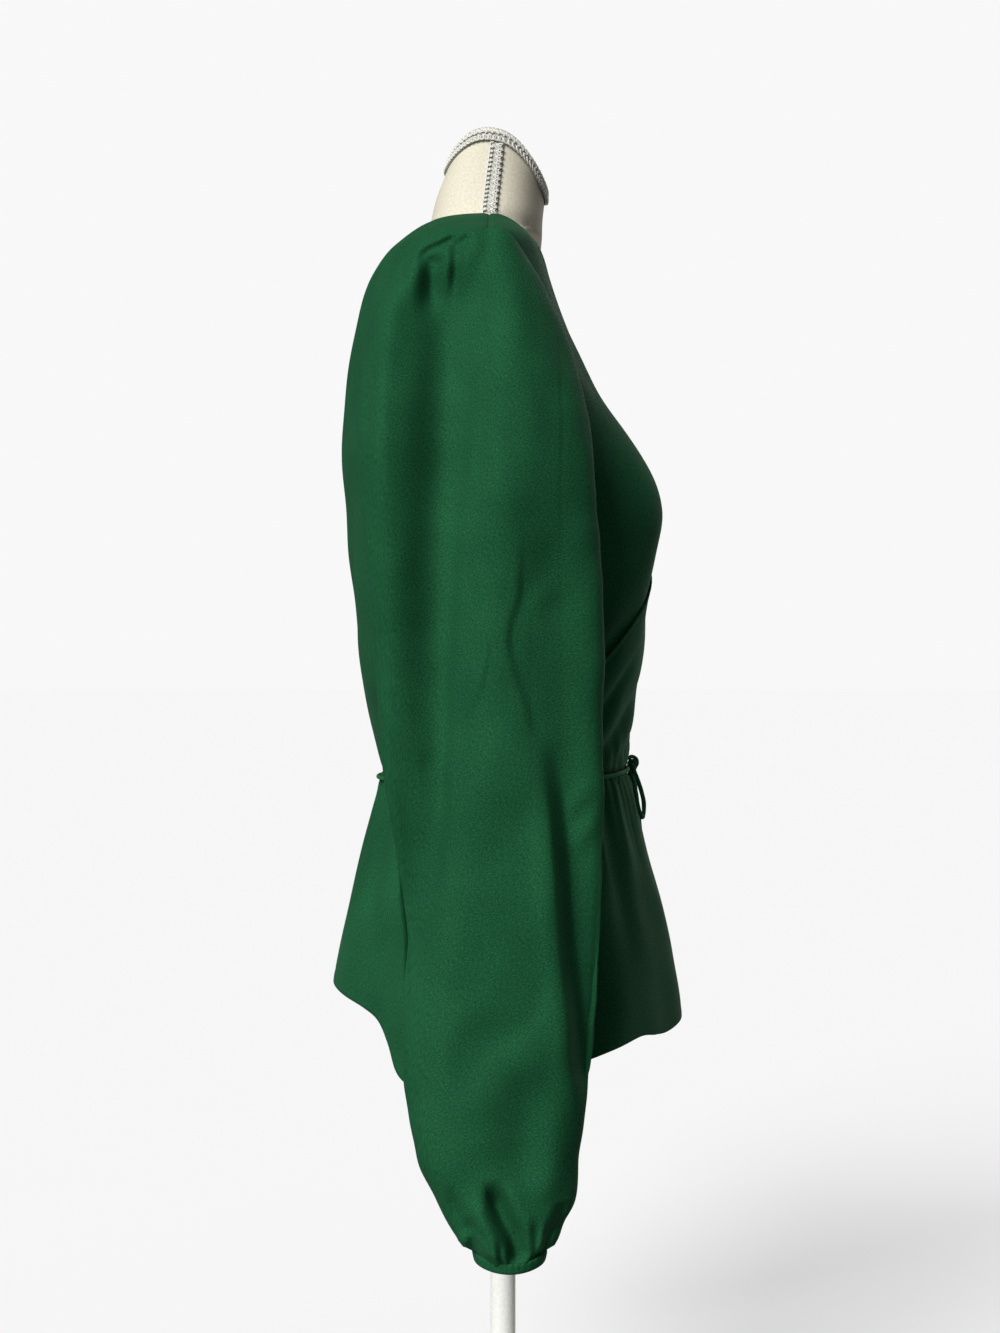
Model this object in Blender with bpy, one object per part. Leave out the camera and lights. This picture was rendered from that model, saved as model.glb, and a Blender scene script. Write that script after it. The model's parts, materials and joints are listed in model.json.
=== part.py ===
"""Wrap top with balloon sleeves, worn by a limbless dress form on a low stand.

Metres, +Z up. The wearer faces -Y, so the wearer's right is -X. The origin is the
centre of the stand's underside. Heights called rise are measured from the waist seam.
Angles go round the body: 0 is the centre front, a quarter turn the wearer's left side
and half a turn the centre back.
"""

import math
from collections import namedtuple

import bmesh
import bpy
from mathutils import Vector

# Cloth and sewing
WALL = 0.0016  # crepe with its seams pressed
SEAM_GAP = 0.0003
WAIST_SEAM = 0.0009  # at the wall's middle; its slanting rims come closer
LAYER_GAP = 0.0016  # between the two fronts where they cross
SEAM_TURN = 0.003  # radians that a panel stops short of a side or shoulder seam

# Stance
WAIST_Z = 0.487
SQUARENESS = 0.91  # power of sine and cosine in a body ring; 1 is an ellipse
HALF_TURN = math.pi
QUARTER = math.pi / 2

# The body rings that the cloth lies on, from the waist seam to the neck.
BodyRow = namedtuple("BodyRow", "rise half_width ridge_y front_y back_y")
TORSO = (
    BodyRow(0.000, 0.118, 0.000, -0.0843, 0.0850),  # waist seam
    BodyRow(0.040, 0.123, 0.000, -0.0895, 0.0950),
    BodyRow(0.085, 0.131, 0.001, -0.0950, 0.1025),
    BodyRow(0.125, 0.139, 0.002, -0.0900, 0.1060),
    BodyRow(0.155, 0.143, 0.003, -0.0855, 0.1085),
    BodyRow(0.182, 0.146, 0.004, -0.0850, 0.1105),  # bust
    BodyRow(0.215, 0.150, 0.006, -0.0790, 0.1125),  # underarm
    BodyRow(0.252, 0.154, 0.008, -0.0670, 0.1120),
    BodyRow(0.290, 0.159, 0.009, -0.0525, 0.1080),
    BodyRow(0.322, 0.163, 0.010, -0.0400, 0.1016),
    BodyRow(0.344, 0.165, 0.010, -0.0325, 0.0935),
    BodyRow(0.358, 0.161, 0.010, -0.0285, 0.0845),  # shoulder tip
    BodyRow(0.369, 0.133, 0.010, -0.0235, 0.0740),
    BodyRow(0.379, 0.098, 0.010, -0.0130, 0.0635),
    BodyRow(0.387, 0.060, 0.010, -0.0010, 0.0545),  # neck side
)
TOP_LEVEL = len(TORSO) - 1
NECK_RISE = TORSO[-1].rise

# Bust fullness, let into the fronts by darts
BUST_OUT = 0.0325
BUST_X = 0.074
BUST_RISE = 0.179
BUST_WIDE = 0.042
BUST_TALL = 0.046

# Peplum rings, from the waist seam down
PEPLUM = (
    BodyRow(-0.205, 0.1765, 0.0, -0.1185, 0.1190),
    BodyRow(-0.165, 0.1700, 0.0, -0.1195, 0.1185),
    BodyRow(-0.131, 0.1605, 0.0, -0.1160, 0.1165),
    BodyRow(-0.095, 0.1480, 0.0, -0.1085, 0.1090),
    BodyRow(-0.060, 0.1350, 0.0, -0.1000, 0.1000),
    BodyRow(-0.030, 0.1245, 0.0, -0.0930, 0.0920),
    BodyRow(-0.012, 0.1195, 0.0, -0.0887, 0.0872),
    BodyRow(0.000, 0.1180, 0.0, -0.0843, 0.0850),
)
HemRow = namedtuple("HemRow", "turn rise")  # degrees from the centre front, either way round
HEM = (
    HemRow(0, -0.1730),
    HemRow(18, -0.1795),
    HemRow(30, -0.1780),
    HemRow(41, -0.1755),
    HemRow(57, -0.1800),
    HemRow(73, -0.1890),
    HemRow(90, -0.1960),
    HemRow(108, -0.2030),
    HemRow(119, -0.2015),
    HemRow(125, -0.1945),
    HemRow(129, -0.1780),
    HemRow(134, -0.1650),
    HemRow(142, -0.1580),
    HemRow(152, -0.1530),
    HemRow(165, -0.1480),
    HemRow(180, -0.1450),
)
FLUTES = 7
FLUTE_DEEP = 0.0045
FLUTE_TURN = 0.6  # radians that the first flute stands off the centre front
FLUTE_GROWTH = 1.5  # power at which flutes deepen towards the hem
GATHERS = 40
GATHER_DEEP = 0.0011
GATHER_FADE = 0.6  # share of the way to the hem where the gathers have run out
PEPLUM_COLUMNS = 2 * GATHERS  # round the whole hem
PEPLUM_ROWS = 5
PEPLUM_ROW_SPREAD = 1.35  # power that sets rows closer together near the waist
LEAST_COLUMN = 0.3  # of a column's width, at a panel's side edges

# Wrap edges: each runs from the neck side, over the centre, to the far waist
CROSSING_RISE = 0.163  # where the two fronts cross at the centre
OVER_REACH = math.radians(86)  # how far past the centre the left front reaches
UNDER_REACH = math.radians(60)
WRAP_END_RISE = 0.012
FRONT_TOP_LEVEL = TOP_LEVEL - 0.2
LIFT_LEAD = math.radians(23)
LIFT_RAMP = math.radians(11)

# Faces of the bodice panels
LEVELS = (0, 1, 2, 3, 4, 5, 6, 6.35, 7, 8, 9, 10, 10.6, 11, 12, 13, FRONT_TOP_LEVEL, TOP_LEVEL)
FORM_LEVELS = (1, 2, 3, 4, 5, 6, 8, 10, 11, 12, 13, FRONT_TOP_LEVEL, TOP_LEVEL)
BACK_COLUMNS = 16
FRONT_MIDDLE = math.radians(40)  # columns keep an even pitch this far from the centre
MIDDLE_COLUMNS = 10
SIDE_COLUMNS = 5

# Armhole
ARMHOLE_TOP = 0.358
ARMHOLE_FOOT = 0.215
ARMHOLE_MIDDLE = (ARMHOLE_TOP + ARMHOLE_FOOT) / 2
ARMHOLE_HALF = (ARMHOLE_TOP - ARMHOLE_FOOT) / 2
ARMHOLE_LAP = 0.0014  # the sleeve's edge stands this far into the hole and off the bodice
INSET_FRONT = 0.028
INSET_BACK = 0.030
HOLLOW_FRONT = 3  # power of the armhole's curve; more is squarer
HOLLOW_BACK = 6

# Sleeve, hanging empty: height above the floor, distance of its middle from the
# centre plane, front and back edges, half its thickness
SleeveRow = namedtuple("SleeveRow", "z out_x front_y back_y half_thick")
SLEEVE = (
    SleeveRow(0.660, 0.1960, -0.0600, 0.0905, 0.0330),
    SleeveRow(0.596, 0.1985, -0.0632, 0.0862, 0.0300),
    SleeveRow(0.533, 0.2020, -0.0637, 0.0795, 0.0275),
    SleeveRow(0.470, 0.2060, -0.0635, 0.0723, 0.0255),
    SleeveRow(0.407, 0.2100, -0.0616, 0.0667, 0.0245),
    SleeveRow(0.344, 0.2125, -0.0580, 0.0637, 0.0240),
    SleeveRow(0.290, 0.2120, -0.0540, 0.0635, 0.0245),
    SleeveRow(0.250, 0.2110, -0.0480, 0.0555, 0.0255),
    SleeveRow(0.2215, 0.2100, -0.0462, 0.0435, 0.0270),
    SleeveRow(0.2045, 0.2100, -0.0390, 0.0362, 0.0275),
    SleeveRow(0.1940, 0.2100, -0.0355, 0.0308, 0.0270),
    SleeveRow(0.1885, 0.2100, -0.0325, 0.0262, 0.0255),
    SleeveRow(0.1855, 0.2100, -0.0275, 0.0195, 0.0225),
)
SLEEVE_SEGMENTS = 40
HEAD_RINGS = 5  # from the armhole down to the first hanging ring
HANGING_RINGS = 10
HEAD_OUT = 0.060  # how strongly the head leaves the armhole outwards
HEAD_PUFF = 0.045  # and away from the armhole's middle
HEAD_FULL_BACK = 0.075  # more of that behind the shoulder
HEAD_FULL_FRONT = 0.030
HEAD_FALL = 1.05
HEAD_MIDDLE_Y = 0.012  # the head swells away from this depth
HEAD_LEAST_PUFF = 0.45  # share of the puff that is left at the underarm
HEAD_ROW_SPREAD = 1.25  # power that sets rows closer together near the armhole
CUFF_GATHERS = 11
CUFF_GATHER_DEEP = 0.0022
CUFF_GATHER_TOP_Z = 0.240  # the gathers start here,
CUFF_GATHER_FULL_Z = 0.198  # are deepest here,
CUFF_GATHER_EASE_Z = 0.194  # grow shallower from here
CUFF_GATHER_LOW_Z = 0.185  # and end here at the cuff
CUFF_GATHER_EASE = 0.6

# Head pleats: place round the armhole, width, depth
Pleat = namedtuple("Pleat", "turn wide deep")
PLEATS = (
    Pleat(math.radians(-12), math.radians(7), 0.0050),
    Pleat(math.radians(-30), math.radians(8), 0.0070),
    Pleat(math.radians(10), math.radians(7), 0.0035),
)

# Long folds in the sleeve: place round it, width, height range, depth (out is positive)
Fold = namedtuple("Fold", "turn wide z_low z_high deep")
SLEEVE_FOLDS = (
    Fold(math.radians(-34), math.radians(16), 0.45, 0.84, -0.0060),
    Fold(math.radians(-6), math.radians(13), 0.28, 0.80, 0.0045),
    Fold(math.radians(40), math.radians(15), 0.24, 0.52, -0.0070),
    Fold(math.radians(66), math.radians(11), 0.26, 0.50, 0.0030),
    Fold(math.radians(12), math.radians(12), 0.175, 0.235, -0.0050),
)

# Cuff
CUFF_TALL = 0.0068
CUFF_THICK = 0.0022
CUFF_SEAM = 0.0009
CUFF_TAPER = 0.0012  # narrower at its foot all round
CUFF_SEGMENTS = 28
CUFF_ROWS = 2

# Tie
CORD_RADIUS = 0.0015
CORD_RESOLUTION = 2
KNOT_RADII = (0.0064, 0.0040, 0.0054)
KNOT_SEGMENTS = 14
KNOT_RISE = 0.0016
BELT_POINTS = 44
BELT_CLEAR = 0.0011
BELT_RISE_FRONT = 0.0
BELT_RISE_SIDE = -0.0055
LAP_STEP = math.radians(8)  # the tie climbs a wrap edge over this angle
LAP_MARGIN = math.radians(12)  # and does so this far before it
LAP_SIDE_MARGIN = math.radians(6)  # past the side seam, where the right front ends
END_KNOT_RADIUS = 0.0028

# Routes of the bow's loops and tails over the peplum's front: x, height over the waist
# seam, and how far the cord's middle is from the cloth
CordSpot = namedtuple("CordSpot", "x rise off")
BOW = {
    "tie_loop_right": (
        CordSpot(-0.0072, 0.0012, 0.0055),
        CordSpot(-0.0108, -0.0040, 0.0054),
        CordSpot(-0.0140, -0.0125, 0.0054),
        CordSpot(-0.0172, -0.0225, 0.0055),
        CordSpot(-0.0205, -0.0300, 0.0040),
        CordSpot(-0.0262, -0.0338, 0.0026),
        CordSpot(-0.0315, -0.0312, 0.0022),
        CordSpot(-0.0322, -0.0240, 0.0022),
        CordSpot(-0.0285, -0.0165, 0.0022),
        CordSpot(-0.0215, -0.0105, 0.0024),
        CordSpot(-0.0140, -0.0060, 0.0024),
        CordSpot(-0.0074, -0.0034, 0.0026),
    ),
    "tie_loop_left": (
        CordSpot(0.0072, 0.0012, 0.0055),
        CordSpot(0.0120, -0.0026, 0.0054),
        CordSpot(0.0185, -0.0100, 0.0050),
        CordSpot(0.0255, -0.0200, 0.0040),
        CordSpot(0.0315, -0.0295, 0.0030),
        CordSpot(0.0380, -0.0350, 0.0022),
        CordSpot(0.0440, -0.0325, 0.0022),
        CordSpot(0.0445, -0.0245, 0.0022),
        CordSpot(0.0380, -0.0160, 0.0022),
        CordSpot(0.0285, -0.0100, 0.0022),
        CordSpot(0.0170, -0.0058, 0.0022),
        CordSpot(0.0076, -0.0034, 0.0024),
    ),
    "tie_tail_right": (
        CordSpot(0.0030, -0.0062, 0.0030),
        CordSpot(0.0050, -0.0110, 0.0026),
        CordSpot(0.0105, -0.0195, 0.0022),
        CordSpot(0.0180, -0.0300, 0.0022),
        CordSpot(0.0265, -0.0410, 0.0022),
        CordSpot(0.0350, -0.0530, 0.0022),
        CordSpot(0.0420, -0.0660, 0.0022),
        CordSpot(0.0480, -0.0800, 0.0022),
    ),
    "tie_tail_left": (
        CordSpot(0.0074, -0.0080, 0.0026),
        CordSpot(0.0110, -0.0135, 0.0022),
        CordSpot(0.0165, -0.0215, 0.0022),
        CordSpot(0.0235, -0.0320, 0.0022),
        CordSpot(0.0320, -0.0430, 0.0022),
        CordSpot(0.0420, -0.0535, 0.0022),
        CordSpot(0.0510, -0.0650, 0.0022),
        CordSpot(0.0580, -0.0770, 0.0022),
    ),
}
CORD_STEPS = 18

# Dress form
FORM_CLEAR = 0.0045
FORM_SHOULDER_CLEAR = 0.0015
SHOULDER_RISE = 0.335  # the form comes close to the cloth above this, over the ramp
SHOULDER_RAMP = 0.022
ARM_PLATE_IN = 0.006
ARM_PLATE_RISE = 0.17
ARM_PLATE_RAMP = 0.04
ARM_PLATE_FADE = 0.85  # share of the plate that runs out on the shoulder
FRONT_SHOULDER_IN = 0.0026
FORM_SEGMENTS = 32
HIPS = (
    BodyRow(-0.136, 0.118, 0.000, -0.0820, 0.0860),
    BodyRow(-0.134, 0.132, 0.000, -0.0920, 0.0960),
    BodyRow(-0.124, 0.139, 0.000, -0.0955, 0.0985),
    BodyRow(-0.085, 0.135, 0.000, -0.0950, 0.0970),
    BodyRow(-0.045, 0.1235, 0.000, -0.0880, 0.0870),
    BodyRow(-0.015, 0.1140, 0.000, -0.0790, 0.0790),
)
NECK = (
    BodyRow(0.392, 0.0560, 0.0090, -0.0285, 0.0520),
    BodyRow(0.401, 0.0525, 0.0075, -0.0290, 0.0500),
    BodyRow(0.411, 0.0505, 0.0060, -0.0298, 0.0465),
    BodyRow(0.423, 0.0495, 0.0045, -0.0302, 0.0415),
    BodyRow(0.437, 0.0490, 0.0035, -0.0302, 0.0380),
)
NECK_ROOT_RISE = 0.350
NECK_SLANT = 0.0105  # the back of the rim stands this far above its mean, the front below
NECK_ARCH = 0.012  # its two sides stand this far above its mean
CapRow = namedtuple("CapRow", "share rise")
CAP = (CapRow(0.90, 0.0040), CapRow(0.68, 0.0080), CapRow(0.38, 0.0105))

# Braid on the form
BRAID_THICK = 0.0018
RIM_BRAID_TALL = 0.0085
RIM_BRAID_OVER = 0.0010  # above the rim
SIDE_BRAID_WIDE = 0.0105
SIDE_BRAID_FOOT = 0.3955
SIDE_BRAID_COLUMNS = 4
SIDE_BRAID_ROWS = 5
BRAID_SEAT = 0.0006
BRAID_JOIN = 0.0010

# Stand
BASE_RADIUS = 0.130
BASE_THICK = 0.012
BASE_BEVEL = 0.003
POLE_RADIUS = 0.009
COLLAR_RADIUS = 0.024
COLLAR_TALL = 0.020
ROUND_SEGMENTS = 36

SHARP_EDGE = math.radians(40)  # faces that meet at more are shaded apart

# Colours as linear RGB
GREEN = (0.010, 0.085, 0.030, 1.0)
LINEN = (0.72, 0.68, 0.55, 1.0)
SILVER_WHITE = (0.70, 0.71, 0.70, 1.0)
WHITE_PAINT = (0.80, 0.80, 0.78, 1.0)


# ---------------------------------------------------------------- small helpers


def smooth_step(value):
    value = max(0.0, min(1.0, value))
    return value * value * (3 - 2 * value)


def bell(distance, spread):
    return math.exp(-0.5 * (distance / spread) ** 2)


def power(value, exponent):
    return math.copysign(abs(value) ** exponent, value)


def blend_rows(rows, level):
    """The row at a fractional index, on a smooth curve through the table."""
    last = len(rows) - 1
    level = max(0.0, min(float(last), level))
    i = min(int(level), last - 1)
    t = level - i
    a, b, c, d = (rows[max(0, min(last, k))] for k in (i - 1, i, i + 1, i + 2))
    values = []
    for p, q, r, s in zip(a, b, c, d):
        curve = 2 * q + (r - p) * t + (2 * p - 5 * q + 4 * r - s) * t**2
        values.append(0.5 * (curve + (3 * q - p - 3 * r + s) * t**3))
    return type(rows[0])(*values)


def level_at(rows, value, column=0):
    """The fractional index at which a rising or falling first column has this value."""
    rising = rows[-1][column] > rows[0][column]
    low, high = 0.0, float(len(rows) - 1)
    for _ in range(40):
        middle = (low + high) / 2
        if (blend_rows(rows, middle)[column] < value) == rising:
            low = middle
        else:
            high = middle
    return (low + high) / 2


def even_steps(start, end, count):
    return [start + (end - start) * k / count for k in range(count + 1)]


def material(name, colour, roughness, metallic=0.0):
    made = bpy.data.materials.new(name)
    made.use_nodes = True
    shader = made.node_tree.nodes["Principled BSDF"]
    shader.inputs["Base Color"].default_value = colour
    shader.inputs["Roughness"].default_value = roughness
    shader.inputs["Metallic"].default_value = metallic
    return made


def add_object(name, data, finish):
    made = bpy.data.objects.new(name, data)
    bpy.context.scene.collection.objects.link(made)
    data.materials.append(finish)
    return made


def shade(mesh):
    mesh.shade_smooth()
    mesh.set_sharp_from_angle(angle=SHARP_EDGE)


def grid_mesh(name, rows, closed, caps=()):
    """Quads between rows of points. Faces point to the right of the way up a column
    when rows rise and their points run anticlockwise seen from above."""
    wide = len(rows[0])
    points = [p for row in rows for p in row]
    faces = []
    for r in range(len(rows) - 1):
        for c in range(wide if closed else wide - 1):
            n = (c + 1) % wide
            faces.append((r * wide + c, r * wide + n, (r + 1) * wide + n, (r + 1) * wide + c))
    if "first" in caps:
        faces.append(tuple(reversed(range(wide))))
    if "last" in caps:
        start = (len(rows) - 1) * wide
        faces.append(tuple(start + c for c in range(wide)))
    mesh = bpy.data.meshes.new(name)
    mesh.from_pydata([tuple(p) for p in points], [], faces)
    mesh.update()
    return mesh


def cloth(name, rows, finish, closed=False, thick=WALL):
    """A sheet through rows of points, thickened outwards into a wall."""
    mesh = grid_mesh(name, rows, closed)
    shade(mesh)
    made = add_object(name, mesh, finish)
    wall = made.modifiers.new("wall", "SOLIDIFY")
    wall.thickness = thick
    wall.offset = 1.0
    return made


def trim(mesh, beyond):
    """Cut off the part of a sheet where its points' numbers are above nought."""
    shape = bmesh.new()
    shape.from_mesh(mesh)
    value = dict(zip(shape.verts, beyond))
    on_cut = []
    for edge in list(shape.edges):
        a, b = edge.verts
        if value[a] * value[b] < 0:
            _, point = bmesh.utils.edge_split(edge, a, value[a] / (value[a] - value[b]))
            value[point] = 0.0
            on_cut.append(point)
    bmesh.ops.connect_verts(shape, verts=on_cut)
    gone = [v for v in shape.verts if value[v] > 0]
    bmesh.ops.delete(shape, geom=gone, context="VERTS")
    shape.to_mesh(mesh)
    shape.free()


# ---------------------------------------------------------------- body surface


def ring_point(row, angle):
    side, face = math.sin(angle), math.cos(angle)
    depth = row.ridge_y - row.front_y if face > 0 else row.back_y - row.ridge_y
    x = row.half_width * power(side, SQUARENESS)
    y = row.ridge_y - depth * power(face, SQUARENESS)
    return Vector((x, y, WAIST_Z + row.rise))


def bust(x, angle, rise):
    both = bell(x - BUST_X, BUST_WIDE) + bell(x + BUST_X, BUST_WIDE)
    return BUST_OUT * both * bell(rise - BUST_RISE, BUST_TALL) * smooth_step(math.cos(angle) * 2)


def torso_point(angle, level):
    row = blend_rows(TORSO, level)
    point = ring_point(row, angle)
    point.y -= bust(point.x, angle, row.rise)
    return point


def torso_normal(angle, level):
    """Outward, and level with the floor at the waist so that layers end together."""
    step = 0.02
    across = torso_point(angle + step, level) - torso_point(angle - step, level)
    along = torso_point(angle, min(level + step, TOP_LEVEL)) - torso_point(angle, level - step)
    normal = across.cross(along).normalized()
    normal.z *= smooth_step(level)
    return normal.normalized()


def torso_out(angle, level, out):
    return torso_point(angle, level) + torso_normal(angle, level) * out


def wrap_edge_angle(rise, reach):
    """How far past the centre a front reaches at this height, negative on its own side."""
    if rise <= CROSSING_RISE:
        return reach * (CROSSING_RISE - rise) / (CROSSING_RISE - WRAP_END_RISE)
    row = blend_rows(TORSO, level_at(TORSO, rise))
    share = (rise - CROSSING_RISE) / (NECK_RISE - CROSSING_RISE)
    return -math.asin(min(1.0, (TORSO[-1].half_width * share / row.half_width) ** (1 / SQUARENESS)))


def armhole_angle(rise, inset, hollow):
    """Where the armhole cuts a body ring, as an angle from the front or back centre."""
    if not ARMHOLE_FOOT < rise < ARMHOLE_TOP:
        return QUARTER
    row = blend_rows(TORSO, level_at(TORSO, rise))
    bow = 1 - abs((rise - ARMHOLE_MIDDLE) / ARMHOLE_HALF) ** hollow
    share = (row.half_width - inset * bow) / row.half_width
    return math.asin(share ** (1 / SQUARENESS))


def lift(angle, rise):
    """How far the left front stands out to clear the right front under it."""
    under_edge = wrap_edge_angle(rise, UNDER_REACH)
    return (WALL + LAYER_GAP) * smooth_step((under_edge + LIFT_LEAD - angle) / LIFT_RAMP)


# ---------------------------------------------------------------- bodice


def bodice_back(finish):
    rows = []
    for level in LEVELS:
        edge = armhole_angle(blend_rows(TORSO, level).rise, INSET_BACK, HOLLOW_BACK) - SEAM_TURN
        angles = even_steps(HALF_TURN - edge, HALF_TURN + edge, BACK_COLUMNS)
        rows.append([torso_point(a, level) for a in angles])
    return cloth("bodice_back", rows, finish)


def front_angles(rise):
    edge = armhole_angle(rise, INSET_FRONT, HOLLOW_FRONT) - SEAM_TURN
    right = even_steps(-edge, -FRONT_MIDDLE, SIDE_COLUMNS)
    middle = even_steps(-FRONT_MIDDLE, FRONT_MIDDLE, MIDDLE_COLUMNS)
    left = even_steps(FRONT_MIDDLE, edge, SIDE_COLUMNS)
    return right + middle[1:-1] + left


def bodice_front(name, side, reach, out_of, finish):
    """side is 1 for the wearer's left front and -1 for the right. Both have the same
    grid over the whole chest, cut off along their own wrap edge."""
    rows = []
    beyond = []
    for level in LEVELS[:-1]:
        rise = blend_rows(TORSO, level).rise
        angles = front_angles(rise)
        rows.append([torso_out(a, level, out_of(a, rise)) for a in angles])
        beyond += [-side * a - wrap_edge_angle(rise, reach) for a in angles]
    made = cloth(name, rows, finish)
    trim(made.data, beyond)
    return made


# ---------------------------------------------------------------- peplum


def hem_rise(angle):
    turn = abs(math.degrees(math.remainder(angle, 2 * math.pi)))
    return blend_rows(HEM, level_at(HEM, turn)).rise


def flute(angle, share):
    return FLUTE_DEEP * math.cos(FLUTES * angle + FLUTE_TURN) * share**FLUTE_GROWTH


def peplum_point(angle, share, out):
    """share is 0 at the waist seam and 1 at the hem."""
    rise = -WAIST_SEAM + (hem_rise(angle) + WAIST_SEAM) * share
    row = blend_rows(PEPLUM, level_at(PEPLUM, rise))
    point = ring_point(row, angle)
    away = Vector((point.x, point.y, 0)).normalized()
    gather_place = round(angle / (2 * math.pi) * PEPLUM_COLUMNS)
    fade = smooth_step(share * 8 + 0.1) * (1 - smooth_step(share / GATHER_FADE))
    gather = GATHER_DEEP * (1 if gather_place % 2 else -1) * fade
    return point + away * (out + flute(angle, share) + gather)


def peplum_panel(name, start, end, out_of, finish):
    """A panel between two angles, its columns on the pitch of the gathers."""
    pitch = 2 * math.pi / PEPLUM_COLUMNS
    inner = range(math.ceil(start / pitch + LEAST_COLUMN), math.floor(end / pitch - LEAST_COLUMN) + 1)
    angles = [start, *(k * pitch for k in inner), end]
    shares = [(r / PEPLUM_ROWS) ** PEPLUM_ROW_SPREAD for r in range(PEPLUM_ROWS, -1, -1)]
    rows = [[peplum_point(a, s, out_of(a, 0.0)) for a in angles] for s in shares]
    return cloth(name, rows, finish)


# ---------------------------------------------------------------- sleeves


def armhole_point(turn, side):
    """Round the armhole: 0 is the shoulder tip, a quarter the front, half the underarm."""
    rise = ARMHOLE_MIDDLE + ARMHOLE_HALF * math.cos(turn)
    front = math.sin(turn) >= 0
    if front:
        angle = armhole_angle(rise, INSET_FRONT - ARMHOLE_LAP, HOLLOW_FRONT)
    else:
        angle = HALF_TURN - armhole_angle(rise, INSET_BACK - ARMHOLE_LAP, HOLLOW_BACK)
    level = level_at(TORSO, rise)
    point = torso_out(angle, level, WALL + ARMHOLE_LAP / 2)
    return Vector((side * point.x, point.y, point.z))


def hanging_point(turn, level, side):
    row = blend_rows(SLEEVE, level)
    middle_y = (row.front_y + row.back_y) / 2
    half_wide = (row.back_y - row.front_y) / 2
    start = smooth_step((CUFF_GATHER_TOP_Z - row.z) / (CUFF_GATHER_TOP_Z - CUFF_GATHER_FULL_Z))
    end = smooth_step((CUFF_GATHER_EASE_Z - row.z) / (CUFF_GATHER_EASE_Z - CUFF_GATHER_LOW_Z))
    gather = CUFF_GATHER_DEEP * start * (1 - CUFF_GATHER_EASE * end)
    swell = gather * math.cos(CUFF_GATHERS * turn)
    swell += sum(fold_depth(f, turn, row.z) for f in SLEEVE_FOLDS)
    x = row.out_x + (row.half_thick + swell) * math.cos(turn)
    y = middle_y - (half_wide + swell) * math.sin(turn)
    return Vector((side * x, y, row.z))


def fold_depth(fold, turn, z):
    around = math.remainder(turn - fold.turn, 2 * math.pi)
    height = (z - fold.z_low) / (fold.z_high - fold.z_low)
    along = math.sin(math.pi * max(0.0, min(1.0, height)))
    return fold.deep * bell(around, fold.wide) * along


def head_point(turn, share, side):
    """On the sleeve head: share 0 at the armhole, 1 at the first hanging ring."""
    start = armhole_point(turn, side)
    end = hanging_point(turn, 0.0, side)
    middle = WAIST_Z + ARMHOLE_MIDDLE
    away = Vector((0.0, start.y - HEAD_MIDDLE_Y, start.z - middle)).normalized()
    fullness = HEAD_FULL_FRONT * max(0.0, math.sin(turn)) + HEAD_FULL_BACK * max(0.0, -math.sin(turn))
    on_top = math.cos(turn / 2) ** 2
    puff = HEAD_PUFF * (HEAD_LEAST_PUFF + (1 - HEAD_LEAST_PUFF) * on_top) + fullness
    leave = Vector((side * HEAD_OUT, 0.0, 0.0)) + away * puff
    arrive = Vector((0.0, 0.0, -1.0)) * (start - end).length * HEAD_FALL
    s = share
    point = start * (2 * s**3 - 3 * s**2 + 1) + leave * (s**3 - 2 * s**2 + s)
    point += end * (3 * s**2 - 2 * s**3) + arrive * (s**3 - s**2)
    outward = (away + Vector((side, 0.0, 0.0)) * s * 1.5).normalized()
    near = smooth_step(s * 8) * (1 - smooth_step(s * 1.6 - 0.1))
    pleat = sum(p.deep * bell(math.remainder(turn - p.turn, 2 * math.pi), p.wide) for p in PLEATS)
    folds = sum(fold_depth(f, turn, point.z) for f in SLEEVE_FOLDS) * s
    return point + outward * (folds - pleat * near)


def sleeve(name, side, finish):
    turns = [2 * math.pi * c / SLEEVE_SEGMENTS for c in range(SLEEVE_SEGMENTS)]
    shares = [(r / HEAD_RINGS) ** HEAD_ROW_SPREAD for r in range(HEAD_RINGS)]
    rows = [[head_point(t, share, side) for t in turns] for share in shares]
    levels = even_steps(0.0, len(SLEEVE) - 1, HANGING_RINGS)
    rows += [[hanging_point(t, level, side) for t in turns] for level in levels]
    if side > 0:
        rows.reverse()
    return cloth(name, rows, finish, closed=True)


def cuff(name, side, finish):
    top = SLEEVE[-1]
    middle_y = (top.front_y + top.back_y) / 2
    rows = []
    for share in even_steps(0.0, 1.0, CUFF_ROWS):
        z = top.z - CUFF_SEAM - CUFF_TALL * share
        half_thick = top.half_thick - CUFF_TAPER * share
        half_wide = (top.back_y - top.front_y) / 2 - CUFF_TAPER * share
        ring = []
        for c in range(CUFF_SEGMENTS):
            turn = 2 * math.pi * c / CUFF_SEGMENTS
            x = top.out_x + half_thick * math.cos(turn)
            y = middle_y - half_wide * math.sin(turn)
            ring.append(Vector((side * x, y, z)))
        rows.append(ring)
    if side > 0:
        rows.reverse()
    return cloth(name, rows, finish, closed=True, thick=CUFF_THICK)


# ---------------------------------------------------------------- tie


def tube(name, points, finish):
    curve = bpy.data.curves.new(name, "CURVE")
    curve.dimensions = "3D"
    curve.bevel_depth = CORD_RADIUS
    curve.bevel_resolution = CORD_RESOLUTION
    curve.use_fill_caps = True
    spline = curve.splines.new("POLY")
    spline.points.add(len(points) - 1)
    for place, point in zip(spline.points, points):
        place.co = (*point, 1.0)
    return add_object(name, curve, finish)


def ball(name, centre, radii, finish):
    mesh = bpy.data.meshes.new(name)
    shape = bmesh.new()
    bmesh.ops.create_uvsphere(shape, u_segments=KNOT_SEGMENTS, v_segments=KNOT_SEGMENTS // 2, radius=1)
    bmesh.ops.scale(shape, vec=radii, verts=shape.verts)
    bmesh.ops.translate(shape, vec=centre, verts=shape.verts)
    shape.to_mesh(mesh)
    shape.free()
    mesh.shade_smooth()
    return add_object(name, mesh, finish)


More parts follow.
